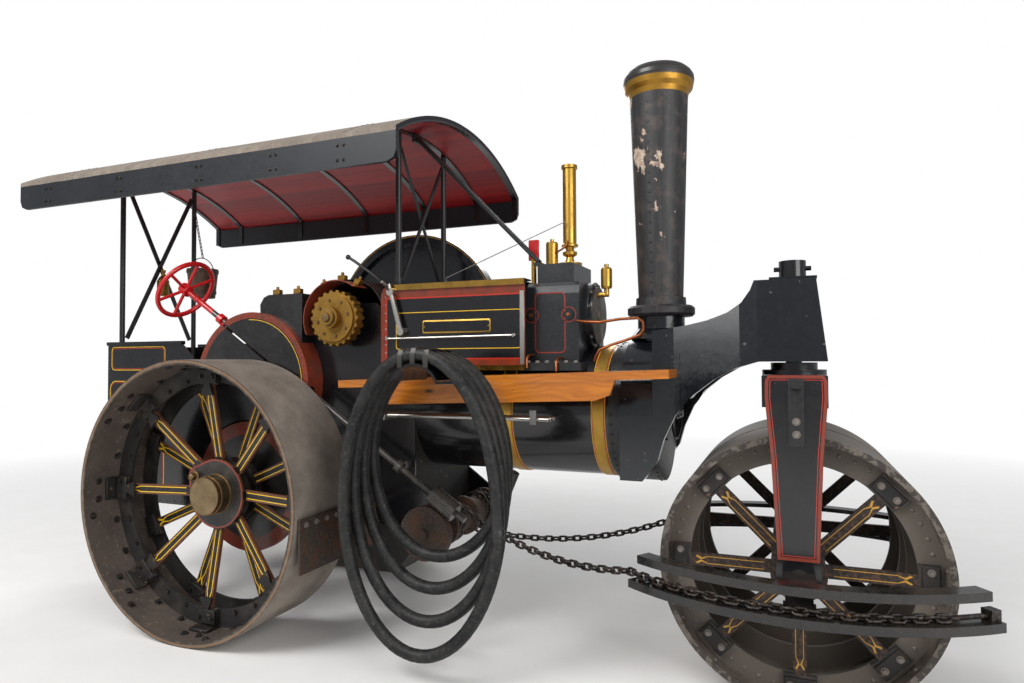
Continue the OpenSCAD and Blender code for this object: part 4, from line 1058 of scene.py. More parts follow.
@dataclass
class SuctionHose:
    """The suction hose: four hanging turns over its saddle, with its outer coupling and straps."""

    radius: float = 0.033
    turns: int = 4
    pitch: float = 0.072
    back_y: float = -0.742
    saddle_x: float = 1.56
    saddle_z: float = 1.648
    saddle_r: float = 0.15
    steps: int = 72
    strap_w: float = 0.028
    strap_t: float = 0.003

    def along(self, t: float) -> Vector:
        """Returns the point of the hose's middle line after t turns."""
        a = math.tau * t
        reach = (400 + 14 * t) / 1000
        drop = (1010 + 150 * t) / 1000
        top = self.saddle_z + self.radius * math.cos(math.radians(14)) + 0.0003
        return spot(self.saddle_x + reach * math.sin(a), self.back_y - self.pitch * t,
                    top + drop * (math.cos(a) - math.cos(math.radians(10))) / 2)

    def route(self) -> list[Vector]:
        """Returns the hose's whole middle line."""
        first, last = 5.5 / 18, (self.turns * 18 + 4.5) / 18
        count = int((last - first) * self.steps)
        return [self.along(first + (last - first) * i / count) for i in range(count + 1)]

    @staticmethod
    def coupling(path: Sequence[Vector]) -> bpy.types.Object:
        """Builds the coupling on the outer end of the hose's middle line."""
        way = (path[-1] - path[-2]).normalized()
        outline = [(0.0, 0.0), (0.0329, 0.0), (0.0329, 0.06), (0.031, 0.063), (0.031, 0.07), (0.0329, 0.073),
                   (0.0329, 0.1), (0.029, 0.104), (0.029, 0.122), (0.0, 0.124)]
        return Shape().turned(outline, seat(path[-1] - way * 0.05, way), steps=24).piece("hose_coupling", SATIN)

    def build(self) -> None:
        """Draws the hose, its coupling and the straps that hold its turns together."""
        path = self.route()
        far = self.coupling(path)
        hose = Shape().tube(path, self.radius, sides=20).piece(
            "suction_hose", HoseRubber("hose_armoured", slot="hose_rubber"), instead_of=["hose"], smooth=60)
        distance = hose.data.attributes.new("along", "FLOAT", "POINT")
        reached = [0.0]
        for a, b in zip(path, path[1:]):
            reached.append(reached[-1] + (b - a).length)
        for vertex in hose.data.vertices:
            near = min(range(len(path)), key=lambda i: (path[i] - vertex.co).length_squared)
            distance.data[vertex.index].value = reached[near]
        self.strap()

    def strap(self) -> None:
        """Buckles leather straps round the turns where they lie over the saddle."""
        straps = Shape()
        first, last = self.back_y - 0.92 * self.pitch, self.back_y - 3.98 * self.pitch
        for x in (-0.075, 0.0, 0.075):
            top = self.saddle_z + 0.0812 - abs(x) * 0.13
            foot = self.saddle_z - self.saddle_r + math.sqrt(self.saddle_r ** 2 - x * x)
            loop = [(last - 0.0375, foot), (last - 0.0375, top - 0.034), (last - 0.022, top - 0.004),
                    (last, top), (first, top - 0.004), (first + 0.022, top - 0.01),
                    (first + 0.037, top - 0.038), (first + 0.037, foot)]
            middle = (first + last) / 2
            inner = [(y - math.copysign(self.strap_t, y - middle), z - self.strap_t) for y, z in reversed(loop)]
            face = seat(spot(self.saddle_x + x - self.strap_w / 2, 0, 0), AHEAD)
            straps.plate([*loop, *inner], self.strap_w, face)
            straps.block((0.03, 0.006, 0.034), moved(face, last + 0.02, top, -0.003), edge=0.001)
        straps.piece("hose_straps", Enamel("strap_leather", "17130f", "4c4036", 0.5, 0.5, slot="hose_rubber"))


def fishtail(start: float, end: float, half: float, width: float, tail: float = 0.085) -> list[Outline]:
    """Returns the two lines painted along a spoke, which meet in a fishtail at its outer end.

    Args:
        start: Where the lines begin along the spoke.
        end: Where the fishtail ends.
        half: The lines' outer edges, off the spoke's middle.
        width: The lines' width.
        tail: The fishtail's length.

    Returns:
        The outlines of the upper and of the lower line.
    """
    bend, meet = end - tail, end - 0.45 * tail
    upper = [(start, half - width), (bend, half - width), (meet, 0.0004), (end, half - width),
             (end - 0.008, half + 0.003), (meet - 0.004, half * 0.5), (bend, half), (start, half)]
    return [upper, [(x, -y) for x, y in upper]]


@dataclass
class RoadWheel:
    """What both kinds of wheel share: a frame on the wheel's middle, its Z axis outwards."""

    side: int
    kind: str = "rear"
    x: float = 0.0
    track: float = 0.818
    radius: float = REAR_R
    rim: float = 0.03

    @property
    def name(self) -> str:
        """The side's name."""
        return "near" if self.side < 0 else "far"

    @property
    def body(self) -> str:
        """The body that the wheel's pieces ride."""
        return f"{self.kind}_{self.name}"

    def hub(self) -> Matrix:
        """Returns the wheel's frame, turned as the source turns it."""
        half_turn = Matrix.Rotation(math.pi if self.side > 0 else 0.0, 4, "Z")
        return on_side(self.x, self.radius, self.side * self.track) @ half_turn

    def out(self, angle: float, distance: float, rise: float, lean: float = 0.0) -> Matrix:
        """Places a fitting on the wheel.

        Args:
            angle: Its angle round the hub in degrees.
            distance: Its distance from the hub.
            rise: Its height over the wheel's middle plane, outwards.
            lean: How far its Z axis leans from the outward way to the rim, in degrees.

        Returns:
            Its placing; X leads away from the hub.
        """
        return (self.hub() @ Matrix.Rotation(math.radians(angle), 4, "Z") @ Matrix.Translation((distance, 0, rise))
                @ Matrix.Rotation(math.radians(lean), 4, "Y"))

    def inwards(self, angle: float, rise: float, stand: float = 0.0) -> Matrix:
        """Places a fitting on the rim's inside, facing the hub."""
        return self.out(angle, self.radius - self.rim - stand, rise, -90)


@dataclass
class RearWheel(RoadWheel):
    """One rear wheel: bolts, foot brackets, spoke lining, hub plate edging and driving pin."""

    slope: float = 10.51
    root: float = 0.1
    top_root: float = -0.058
    inner_top: float = -0.1337
    plate_top: float = -0.013
    plate_r: float = 0.215
    lobe: tuple[float, float] = (-0.165, 0.1)
    lobe_r: float = 0.06

    def line_spokes(self) -> None:
        """Paints the yellow lines on the outer and inner spokes."""
        lines = Shape()
        for i in range(8):
            start = 0.165 if i in (3, 4) else 0.13
            for outline in fishtail(start, 0.585, 0.0205, 0.0062):
                lines.plate(outline, 0.0008, self.out(45 * i, self.root, self.top_root, -self.slope))
            for outline in fishtail(0.12, 0.575, 0.0205, 0.0062):
                lines.plate(outline, 0.0008, self.out(22.5 + 45 * i, self.root, self.inner_top))
        lines.piece(f"spoke_lining_{self.name}", LINE_YELLOW, self.body)

    def plate_outline(self, inset: float) -> Outline:
        """Returns the hub plate's outline with its lobe, drawn in by an inset."""
        lx, ly = self.lobe
        way, reach = math.atan2(ly, lx), math.hypot(lx, ly)
        flank = math.acos((self.plate_r - self.lobe_r) / reach)
        big, small = self.plate_r - inset, self.lobe_r - inset
        out = []
        for i in range(13):
            a = way - flank + 2 * flank * i / 12
            out.append((lx + small * math.cos(a), ly + small * math.sin(a)))
        for i in range(41):
            a = way + flank + (math.tau - 2 * flank) * i / 40
            out.append((big * math.cos(a), big * math.sin(a)))
        return out

    def dress_hub(self) -> None:
        """Adds the hub plate's red edge, the driving pin's dome and the cap's beads."""
        face = self.out(0, 0, self.plate_top)
        edge = Shape().lining(self.plate_outline(0.001), 0.011, face)
        edge.piece(f"hub_plate_edge_{self.name}", TERRACOTTA, self.body)
        pin = moved(self.hub(), *self.lobe, self.plate_top)
        dome = Shape().turned([(0.022, 0.0), (0.034, 0.0), (0.034, 0.012), (0.028, 0.016), (0.0235, 0.017),
                               (0.0235, 0.04), (0.019, 0.047), (0.01, 0.052), (0.0, 0.053)], pin, steps=24)
        dome.piece(f"driving_pin_{self.name}", BRONZE, self.body)
        beads = Shape().ring(0.1185, 0.0035, self.out(0, 0, 0.0535), steps=48)
        beads.ring(0.113, 0.0028, self.out(0, 0, 0.0815), steps=48)
        beads.ring(0.121, 0.005, self.out(0, 0, -0.012), steps=48)
        beads.piece(f"hub_cap_beads_{self.name}", BRONZE, self.body)

    def bolt_rim(self) -> None:
        """Adds the brackets at the spoke feet and the bolts inside the rim."""
        shoes, bolts = Shape(), Shape()
        gusset = [(-0.075, -0.05), (0.0, -0.02), (0.0, 0.02), (-0.075, 0.05)]
        for i in range(8):
            a, b = 45 * i, 45 * i + 22.5
            shoes.block((0.085, 0.142, 0.016), self.out(a, 0.733, 0.0505), edge=0.004)
            shoes.block((0.02, 0.142, 0.075), self.out(a, 0.795, 0.0505), edge=0.005)
            shoes.plate(gusset, 0.014, self.out(a, 0.692, 0.0505))
            shoes.block((0.08, 0.14, 0.014), self.out(b, 0.73, -0.133), edge=0.004)
            bolts.heads(Head.HEX, 0.0145, *[self.out(a + s, 0.735, 0.0665) for s in (-3.6, 3.6)], washer=0.02)
            bolts.heads(Head.HEX, 0.0135, *[self.out(b + s, 0.735, -0.119) for s in (-3.4, 3.4)])
            bolts.heads(Head.HEX, 0.014, *[self.out(a + s, 0.72, 0.0265) for s in (16, 29)], washer=0.019)
            on_rim = [(b - 7.5, 0.055), (b + 7.5, 0.055), (a - 4, 0.165), (a + 4, 0.165), (a + 11, 0.21)]
            bolts.heads(Head.HEX, 0.016, *[self.inwards(angle, rise) for angle, rise in on_rim], washer=0.023)
        shoes.piece(f"spoke_brackets_{self.name}", GRIMY, self.body)
        bolts.piece(f"rim_bolts_{self.name}", BOLT, self.body)

    def build(self) -> None:
        """Dresses the whole wheel."""
        coat(RollingRim("rear_rim_worn", slot="worn_steel"), f"rear_wheel_{self.name}")
        coat(SpokeColours("rear_spoke_paint", cap_r=0.1195, cap_y=self.track + self.plate_top, rim_y=0.683,
                          slot="wheel_paint"), f"rear_spokes_{self.name}")
        self.line_spokes()
        self.dress_hub()
        self.bolt_rim()


@dataclass
class FrontRoll(RoadWheel):
    """One front roll: spoke lining, foot plates with pale bolts, and ring rivets."""

    kind: str = "roll"
    x: float = FRONT_X
    track: float = 0.2835
    radius: float = FRONT_R
    spoke_top: float = 0.2035

    def build(self) -> None:
        """Dresses the roll."""
        paint = RollColours("front_roll_paint", FRONT_X + REAR_X, FRONT_R, 0.016, 0.551, tread="7a7169",
                            edge="3d3631", inside="7a7066", ring="645b52", flakes=0.4, slot="worn_steel")
        coat(paint, f"front_roll_{self.name}")
        lines, plates, bolts = Shape(), Shape(), Shape()
        for i in range(8):
            a = 45 * i
            for outline in fishtail(0.155, 0.48, 0.019, 0.0035, 0.06):
                lines.plate(outline, 0.0008, self.out(a, 0.0, self.spoke_top))
            plates.block((0.07, 0.144, 0.01), self.out(a, 0.552, self.spoke_top), edge=0.003)
            bolts.heads(Head.HEX, 0.0125, *[self.out(a + s, 0.555, self.spoke_top + 0.01) for s in (-4.6, 4.6)],
                        washer=0.018)
            bolts.heads(Head.RIVET, 0.0105, *[self.out(a + s, 0.578, 0.1795) for s in (12, 19, 26, 33)])
            bolts.heads(Head.RIVET, 0.012, *[self.inwards(a + s, 0.225) for s in (6, 28.5)])
        lines.piece(f"roll_lining_{self.name}", LINE_GOLD, self.body)
        plates.piece(f"roll_foot_plates_{self.name}", GRIMY, self.body)
        bolts.piece(f"roll_bolts_{self.name}", PALE_BOLT, self.body)


@dataclass
class Fork:
    """The fork: band and red line along its legs, middle straps with pale bolts, and rivets."""

    half: float = 0.650
    head_z: float = 1.585
    foot_half: float = 0.092
    edge: tuple[tuple[float, float], ...] = (
        (-0.120, 1.585), (-0.134, 1.56), (-0.136, 1.48), (-0.112, 1.2), (-0.092, 0.78))

    def drawn_in(self, inset: float, foot: float) -> Outline:
        """Returns the leg's outline from a foot height up, drawn in by an inset."""
        left = [(x + inset, min(z, self.head_z - inset)) for x, z in self.edge]
        left.append((inset - self.foot_half, foot))
        return [*left, *[(-x, z) for x, z in reversed(left)]]

    def line_legs(self) -> None:
        """Paints the outer band and the thin red line on both legs."""
        faces = [on_side(FRONT_X, 0.0, side * self.half) for side in SIDES]
        band = Shape().lining(self.drawn_in(0.001, 0.73), 0.015, *faces)
        band.piece("leg_bands", TERRACOTTA, "forecarriage")
        line = Shape().lining(self.drawn_in(0.0215, 0.75), 0.003, *faces)
        line.piece("leg_gold_lines", LINE_RED, "forecarriage")

    def fit(self) -> None:
        """Adds the middle straps with their pale bolts, and a row of rivets across each leg's head."""
        pale, straps, rivets = Shape(), Shape(), Shape()
        outline = [(-0.03, 1.255), (0.03, 1.255), (0.034, 1.27), (0.034, 1.568), (-0.034, 1.568), (-0.034, 1.27)]
        for side in SIDES:
            face = on_side(FRONT_X, 0.0, side * self.half)
            straps.plate(outline, 0.009, face, edge=0.002)
            straps.block((0.05, 0.03, 0.024), moved(face, 0, 1.535, 0.008), edge=0.003)
            pale.heads(Head.HEX, 0.0135, *[moved(face, 0, z, 0.009) for z in (1.369, 1.31)], washer=0.019)
            rivets.heads(Head.RIVET, 0.009, *[moved(face, x, 1.545, 0) for x in (-0.09, 0.09)])
        pale.piece("strap_bolts", PALE_BOLT, "forecarriage")
        straps.piece("leg_straps", SATIN, "forecarriage")
        rivets.piece("leg_rivets", SATIN, "forecarriage")

    def build(self) -> None:
        """Dresses the forecarriage."""
        coat(BLACK, "fork", "king_pin")
        coat(GRIMY, "front_axle")
        self.line_legs()
        self.fit()


def reach(node: str, side: int) -> float:
    """Returns how far a node reaches from the middle plane on one side."""
    low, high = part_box(node)
    return high[1] if side > 0 else -low[1]


@dataclass
class Boiler:
    """Barrel, firebox and smokebox: band edges, rivets, neck plates, and the door's ring, straps and dart."""

    radius: float = 0.386
    z: float = BARREL_Z
    bands: tuple[float, ...] = (1.76, 2.31)
    band_w: float = 0.06
    smokebox: tuple[float, float, float] = (2.4, 2.655, 0.403)
    door: tuple[float, float] = (1.42, 0.235)

    def round_barrel(self, x: float, radius: float, count: int, start: float, end: float) -> list[Matrix]:
        """Places fittings round the barrel between two angles, 0 on top and positive to the far side."""
        turns = [math.radians(start + (end - start) * (i + 0.5) / count) for i in range(count)]
        return [seat(spot(x, radius * math.sin(a), self.z + radius * math.cos(a)), (0, math.sin(a), math.cos(a)),
                     AHEAD) for a in turns]

    @staticmethod
    def plate_neck() -> None:
        """Lays a cheek plate on each side wall of the neck, over the slit that its hollow leaves."""
        cheeks = Shape()
        outline = [(0.035, 1.40), (0.105, 1.475), (0.105, 1.70), (0.035, 1.70)]
        for side in SIDES:
            wall = seat(spot(2.76, 0.407 * side, 0), (0.574, 0.819 * side, 0))
            cheeks.plate([(x * -side, z) for x, z in outline], 0.003, wall)
        cheeks.piece("neck_cheeks", NECK)

    def edge_bands(self) -> None:
        """Lays the red and yellow lines along both edges of the brass bands."""
        red, gold = Shape(), Shape()
        r = self.radius
        for x in self.bands:
            for edge, out in ((x, -1), (x + self.band_w, 1)):
                wrap = seat(spot(edge + out * 0.0006, 0, self.z), AHEAD)
                for line, high, low, wide in ((red, 0.0016, 0.0, 0.0055), (gold, 0.0012, 0.0062, 0.0092)):
                    a, b = (low, wide) if out > 0 else (-wide, -low)
                    line.turned([(r - 0.001, a), (r + high, a), (r + high, b), (r - 0.001, b)], wrap, steps=64,
                                closed=True)
        red.piece("band_red_edges", LINE_RED)
        gold.piece("band_gold_edges", LINE_YELLOW)

    def rivet(self) -> None:
        """Rivets the smokebox's seams and the firebox's corners."""
        rivets = Shape()
        back, front, r = self.smokebox
        for x in (back + 0.018, front - 0.02):
            rivets.heads(Head.RIVET, 0.0085, *self.round_barrel(x, r, 44, -172, 172))
        for side in SIDES:
            rivets.heads(Head.RIVET, 0.008, *[on_side(x, z, side * reach("firebox", side)) for x in (0.5, 1.13)
                                              for z in (0.86, 0.93, 1.0, 1.07, 1.14)])
        rivets.piece("boiler_rivets", SATIN)

    def dress_door(self) -> None:
        """Adds the door's beading, its hinge straps, the crossbar dart and the bolts on its straps."""
        z, r = self.door
        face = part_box("smokebox_door")[1][0] - REAR_X
        body = Shape()
        body.ring(r - 0.014, 0.006, front_face(0, z, face - 0.006), steps=48)
        for h in (-0.09, 0.09):
            strap = front_face(0.09, z + h, face - 0.004)
            body.plate([(-0.16, -0.016), (0.13, -0.022), (0.13, 0.022), (-0.16, 0.016)], 0.008, strap, edge=0.002)
        body.turned([(0.0, 0.0), (0.04, 0.0), (0.036, 0.014), (0.018, 0.018), (0.016, 0.03), (0.0, 0.031)],
                    front_face(0, z, face - 0.004), steps=24)
        body.heads(Head.HEX, 0.009, *[front_face(0.09 + y, z + h, face + 0.004) for h in (-0.09, 0.09)
                                      for y in (-0.1, 0.0)])
        body.piece("door_furniture", SATIN, "smokebox_door")

    def build(self) -> None:
        """Dresses the boiler."""
        coat(BLACK, "boiler_barrel", "hornplates")
        coat(BRASS, "boiler_bands")
        coat(GRIMY, "firebox", "ash_pan")
        coat(SATIN, "smokebox", "smokebox_door")
        coat(NECK, "saddle_casting")
        self.plate_neck()
        self.edge_bands()
        self.rivet()
        self.dress_door()


@dataclass
class Chimney:
    """The chimney: flange bolts and rivetted seams."""

    x: float = 2.628
    foot_z: float = 1.912
    foot_r: float = 0.130
    top_r: float = 0.170
    top_z: float = 3.21

    def on_barrel(self, z: float, angle: float) -> Matrix:
        """Places a fitting on the chimney's wall at a height and an angle round it, 0 ahead."""
        share = (z - self.foot_z) / (self.top_z - self.foot_z)
        r = self.foot_r + (self.top_r - self.foot_r) * share
        a = math.radians(angle)
        return seat(spot(self.x + r * math.cos(a), r * math.sin(a), z), (math.cos(a), math.sin(a), 0))

    def build(self) -> None:
        """Dresses the chimney."""
        coat(ChimneyPaint("chimney_old_paint"), "chimney")
        coat(CapMetal("chimney_cap_metal", "c0913f", "6b4a22", 0.5, 0.24, slot="brass"), "chimney_cap")
        rivets = Shape()
        for angle in (-103, 100):
            rivets.heads(Head.RIVET, 0.0065, *[self.on_barrel(1.99 + 0.058 * i, angle) for i in range(21)])
        rivets.piece("chimney_rivets", SATIN)
        bolts = Shape().heads(Head.HEX, 0.0125, *[
            seat(spot(self.x + 0.176 * math.cos(a), 0.176 * math.sin(a), self.foot_z + 0.026), UP)
            for a in (math.radians(22.5 + 45 * i) for i in range(8))], washer=0.017)
        bolts.piece("chimney_flange_bolts", BOLT)


@dataclass
class Engine:
    """Cylinder, motion cover, crank gear, flywheel and guards, with their brasses, pipes, bolts and lining."""

    block_half: float = 0.282
    crank: tuple[float, float] = (0.69, 1.93)
    cover_y: float = 0.3933
    guard: tuple[float, float, float] = (0.02, 1.52, 0.468)

    def dress_cylinder(self) -> None:
        """Adds the block's lining, copper-hearted bosses, flange bolts, end cover nuts and the end cover's face."""
        half = self.block_half
        lining, copper, bolts = Shape(), Shape(), Shape()
        for side in SIDES:
            loop = rounded(-0.095, 1.70, 0.095, 2.058, 0.03)
            lining.lining(loop, 0.0075, on_side(2.03, 0.0, side * half), rise=0.0012)
            for x in (1.915, 2.145):
                lining.lining(disc(0.045, 24), 0.005, on_side(x, 1.925, side * half), rise=0.0012)
                copper.cone(0.012, 0.01, 0.005, on_side(x, 1.925, side * (half + 0.0145)), sides=12)
            bolts.heads(Head.HEX, 0.0125, *[seat(spot(1.86 + 0.0575 * i, side * 0.352, 1.646), UP) for i in range(7)],
                        washer=0.017)
        bolts.heads(Head.HEX, 0.0115, *[front_face(0.188 * math.cos(a), 1.93 + 0.188 * math.sin(a), 2.235)
                                        for a in (math.tau * (i + 0.5) / 12 for i in range(12))])
        lining.piece("cylinder_lining", Enamel("lining_dark_red", "8f2a20", dust=0.2, gloss=0.3, slot="red_paint"))
        copper.piece("cylinder_boss_copper", COPPER)
        bolts.piece("cylinder_bolts", PALE_BOLT)
        end = front_face(0, 1.93, 2.2535)
        cover = Shape().cone(0.172, 0.168, 0.003, end, sides=48).cone(0.05, 0.046, 0.014, end, sides=32)
        cover.piece("end_cover_face", DULL_STEEL)

    def run_pipes(self) -> None:
        """Bends the copper drain loop, the drain pipes, the governor wire and the whistle pipe."""
        pipes = Shape()
        loop = [(2.19, -0.3, 1.886), (2.26, -0.34, 1.876), (2.348, -0.35, 1.871), (2.46, -0.35, 1.885),
                (2.56, -0.35, 1.888), (2.588, -0.35, 1.865), (2.59, -0.35, 1.82), (2.571, -0.35, 1.794),
                (2.5, -0.35, 1.77), (2.41, -0.35, 1.742), (2.346, -0.36, 1.716), (2.325, -0.36, 1.68),
                (2.31, -0.34, 1.655)]
        pipes.tube([spot(*p) for p in loop], 0.008, sides=10)
        for x, z in ((1.928, 1.69), (2.104, 1.671)):
            pipes.tube([spot(x, -0.285, z), spot(x, -0.34, z), spot(x, -0.385, z - 0.005), spot(x, -0.4, z - 0.025),
                        spot(x, -0.402, z - 0.075)], 0.007, sides=10)
        pipes.tube([spot(1.95, 0.0, 2.3), spot(2.0, -0.05, 2.33), spot(2.068, -0.07, 2.36), spot(2.068, -0.035, 2.4)],
                   0.006, sides=8)
        pipes.piece("copper_pipes", COPPER, smooth=60)
        rod = Shape().tube([spot(1.354, -0.3, 2.136), spot(1.354, -0.3, 2.174), spot(2.059, -0.06, 2.515)], 0.003)
        rod.piece("governor_wire", STEEL)

    def dress_cover(self) -> None:
        """Adds the yellow rectangle, the bare name plate, the rivetted strip and the slide rod."""
        gold, plate, steel, field_plate = Shape(), Shape(), Shape(), Shape()
        for side in SIDES:
            face = on_side(1.47, 1.845, side * self.cover_y)
            gold.lining(rounded(-0.42, -0.115, 0.42, 0.115, 0.02), 0.0045, face, rise=0.0012)
            plate.plate(rounded(-0.23, -0.04, 0.23, 0.04, 0.012), 0.005, moved(face, 0, 0.022, 0), edge=0.0015)
            plate.heads(Head.PAN, 0.005, *[moved(face, x, 0.022, 0.005) for x in (-0.215, 0.215)])
            steel.block((0.028, 0.43, 0.006), on_side(1.897, 1.85, side * self.cover_y), edge=0.0015)
            steel.heads(Head.RIVET, 0.0065, *[on_side(0.975, 1.66 + 0.05 * i, side * self.cover_y)
                                              for i in range(9)])
            field_plate.plate(rounded(-0.221, -0.031, 0.221, 0.031, 0.008), 0.0012, moved(face, 0, 0.022, 0.005))
        steel.tube([spot(0.99, -self.cover_y - 0.024, 1.798), spot(1.862, -self.cover_y - 0.024, 1.806)], 0.006)
        steel.cone(0.012, 0.01, 0.03, on_side(1.0, 1.798, -self.cover_y), on_side(1.85, 1.806, -self.cover_y))
        field_plate.piece("bare_plate_fields", BLACK)
        gold.piece("cover_lining", LINE_YELLOW)
        plate.piece("bare_name_plates", BRASS)
        steel.piece("cover_strips", STEEL)

    def fit_levers(self) -> None:
        """Fits the reversing lever and its reach pipe to the cover, and the red tag to the gauge column."""
        y = -self.cover_y
        lever = Shape().plate([(-0.016, 0.0), (0.016, 0.0), (0.011, 0.31), (-0.011, 0.31)], 0.012,
                              seat(spot(1.105, y - 0.03, 1.84), NEAR, (-0.29, 0, 1)), edge=0.002)
        lever.cone(0.026, 0.024, 0.045, on_side(1.105, 1.84, y), on_side(1.03, 2.09, y), sides=20)
        lever.tube([spot(0.995, y - 0.075, 2.15), spot(1.0, y - 0.04, 2.13), spot(1.02, y - 0.035, 2.105)], 0.01,
                   sides=10)
        lever.piece("reversing_lever", STEEL)
        pipe = Shape().tube([spot(1.03, y - 0.035, 2.09), spot(0.99, y - 0.05, 2.145), spot(0.9, y - 0.06, 2.215),
                             spot(0.79, y - 0.065, 2.29), spot(0.74, y - 0.065, 2.32)], 0.009, sides=10)
        pipe.ball(0.016, seat(spot(0.738, y - 0.065, 2.321), UP))
        pipe.piece("reach_pipe", SATIN, smooth=60)
        tag = Shape().block((0.07, 0.012, 0.13), seat(spot(1.85, -0.06, 2.285), UP), edge=0.004)
        tag.piece("red_tag", WHEEL_RED)

    def dress_gear(self) -> None:
        """Adds the pinion's bolts and cap, oil boxes, guard rivets and the guard's yellow line."""
        cx, cz = self.crank
        bolts, boxes = Shape(), Shape()
        bolts.heads(Head.HEX, 0.011, *round_axis(cx, cz, -0.556, 0.115, 8, 12))
        bolts.turned([(0.0, 0.0), (0.05, 0.0), (0.05, 0.012), (0.03, 0.016), (0.026, 0.03), (0.0, 0.033)],
                     on_side(cx, cz, -0.6), steps=24)
        bolts.piece("pinion_bolts", BRONZE, "crank")
        spots = [seat(spot(x, -0.45, 2.102), UP) for x in (0.17, 0.34)]
        for a in map(math.radians, (62, 90, 120)):
            spots.append(seat(spot(cx + 0.2415 * math.cos(a), -0.45, cz + 0.2415 * math.sin(a)),
                              (math.cos(a), 0, math.sin(a))))
        boxes.block((0.055, 0.04, 0.036), *spots, edge=0.004)
        boxes.cone(0.011, 0.009, 0.02, *[moved(p, 0, 0, 0.036) for p in spots], sides=12)
        gx, gz, gr = self.guard
        face = reach("final_drive_guard", -1)
        rivets = Shape().heads(Head.RIVET, 0.008, *round_axis(gx, gz, -face, gr - 0.018, 26, -8, 200))
        rivets.piece("guard_rivets", TERRACOTTA)
        boxes.piece("oil_boxes", OLD_BRASS)
        line = [(gr - 0.048, 0.0), (gr - 0.048, 0.0012), (gr - 0.052, 0.0012), (gr - 0.052, 0.0)]
        Shape().arc(line, on_side(gx, gz, -face), start=-8, spread=100).piece("guard_line", LINE_YELLOW)

    def dress_flywheel(self) -> None:
        """Adds the line round the flywheel's rim on both faces and the bolts at its boss."""
        cx, cz = self.crank
        faces = [seat(spot(cx, y, cz), out) for y, out in ((0.437, NEAR), (0.543, FAR))]
        line = Shape().turned([(0.678, 0.0), (0.678, 0.001), (0.672, 0.001), (0.672, 0.0)], *faces, steps=96,
                              closed=True)
        line.piece("flywheel_line", LINE_GOLD, "crank")
        bolts = Shape().heads(Head.HEX, 0.011, *round_axis(cx, cz, 0.504, 0.16, 6))
        bolts.piece("flywheel_bolts", SATIN, "crank")

    def build(self) -> None:
        """Dresses the engine."""
        coat(CASTING, "cylinder_block")
        coat(BRASS, "cylinder_brasses")
        coat(MotionPaint("motion_cover_paint", "0f0f13", dust=0.1, gloss=0.16, coat=0.4), "motion_cover")
        coat(SATIN, "gear_cover")
        cx, cz = self.crank
        coat(Banded("guard_black_and_red", "101013", x=cx, z=cz, start=0.225, end=0.25), "crank_guard")
        gx, gz, _ = self.guard
        coat(Banded("drive_guard_paint", "101013", x=gx, z=gz, start=0.428, end=0.5), "final_drive_guard")
        coat(Banded("final_gear_paint", "1c1a19", x=0.0, z=REAR_R, start=0.34, end=0.43), "final_gear")
        coat(OLD_BRASS, "crankshaft")
        coat(Enamel("flywheel_blue_black", "10131b", dust=0.15, gloss=0.2, coat=0.3), "flywheel")
        self.dress_cylinder()
        self.run_pipes()
        self.dress_cover()
        self.fit_levers()
        self.dress_gear()
        self.dress_flywheel()


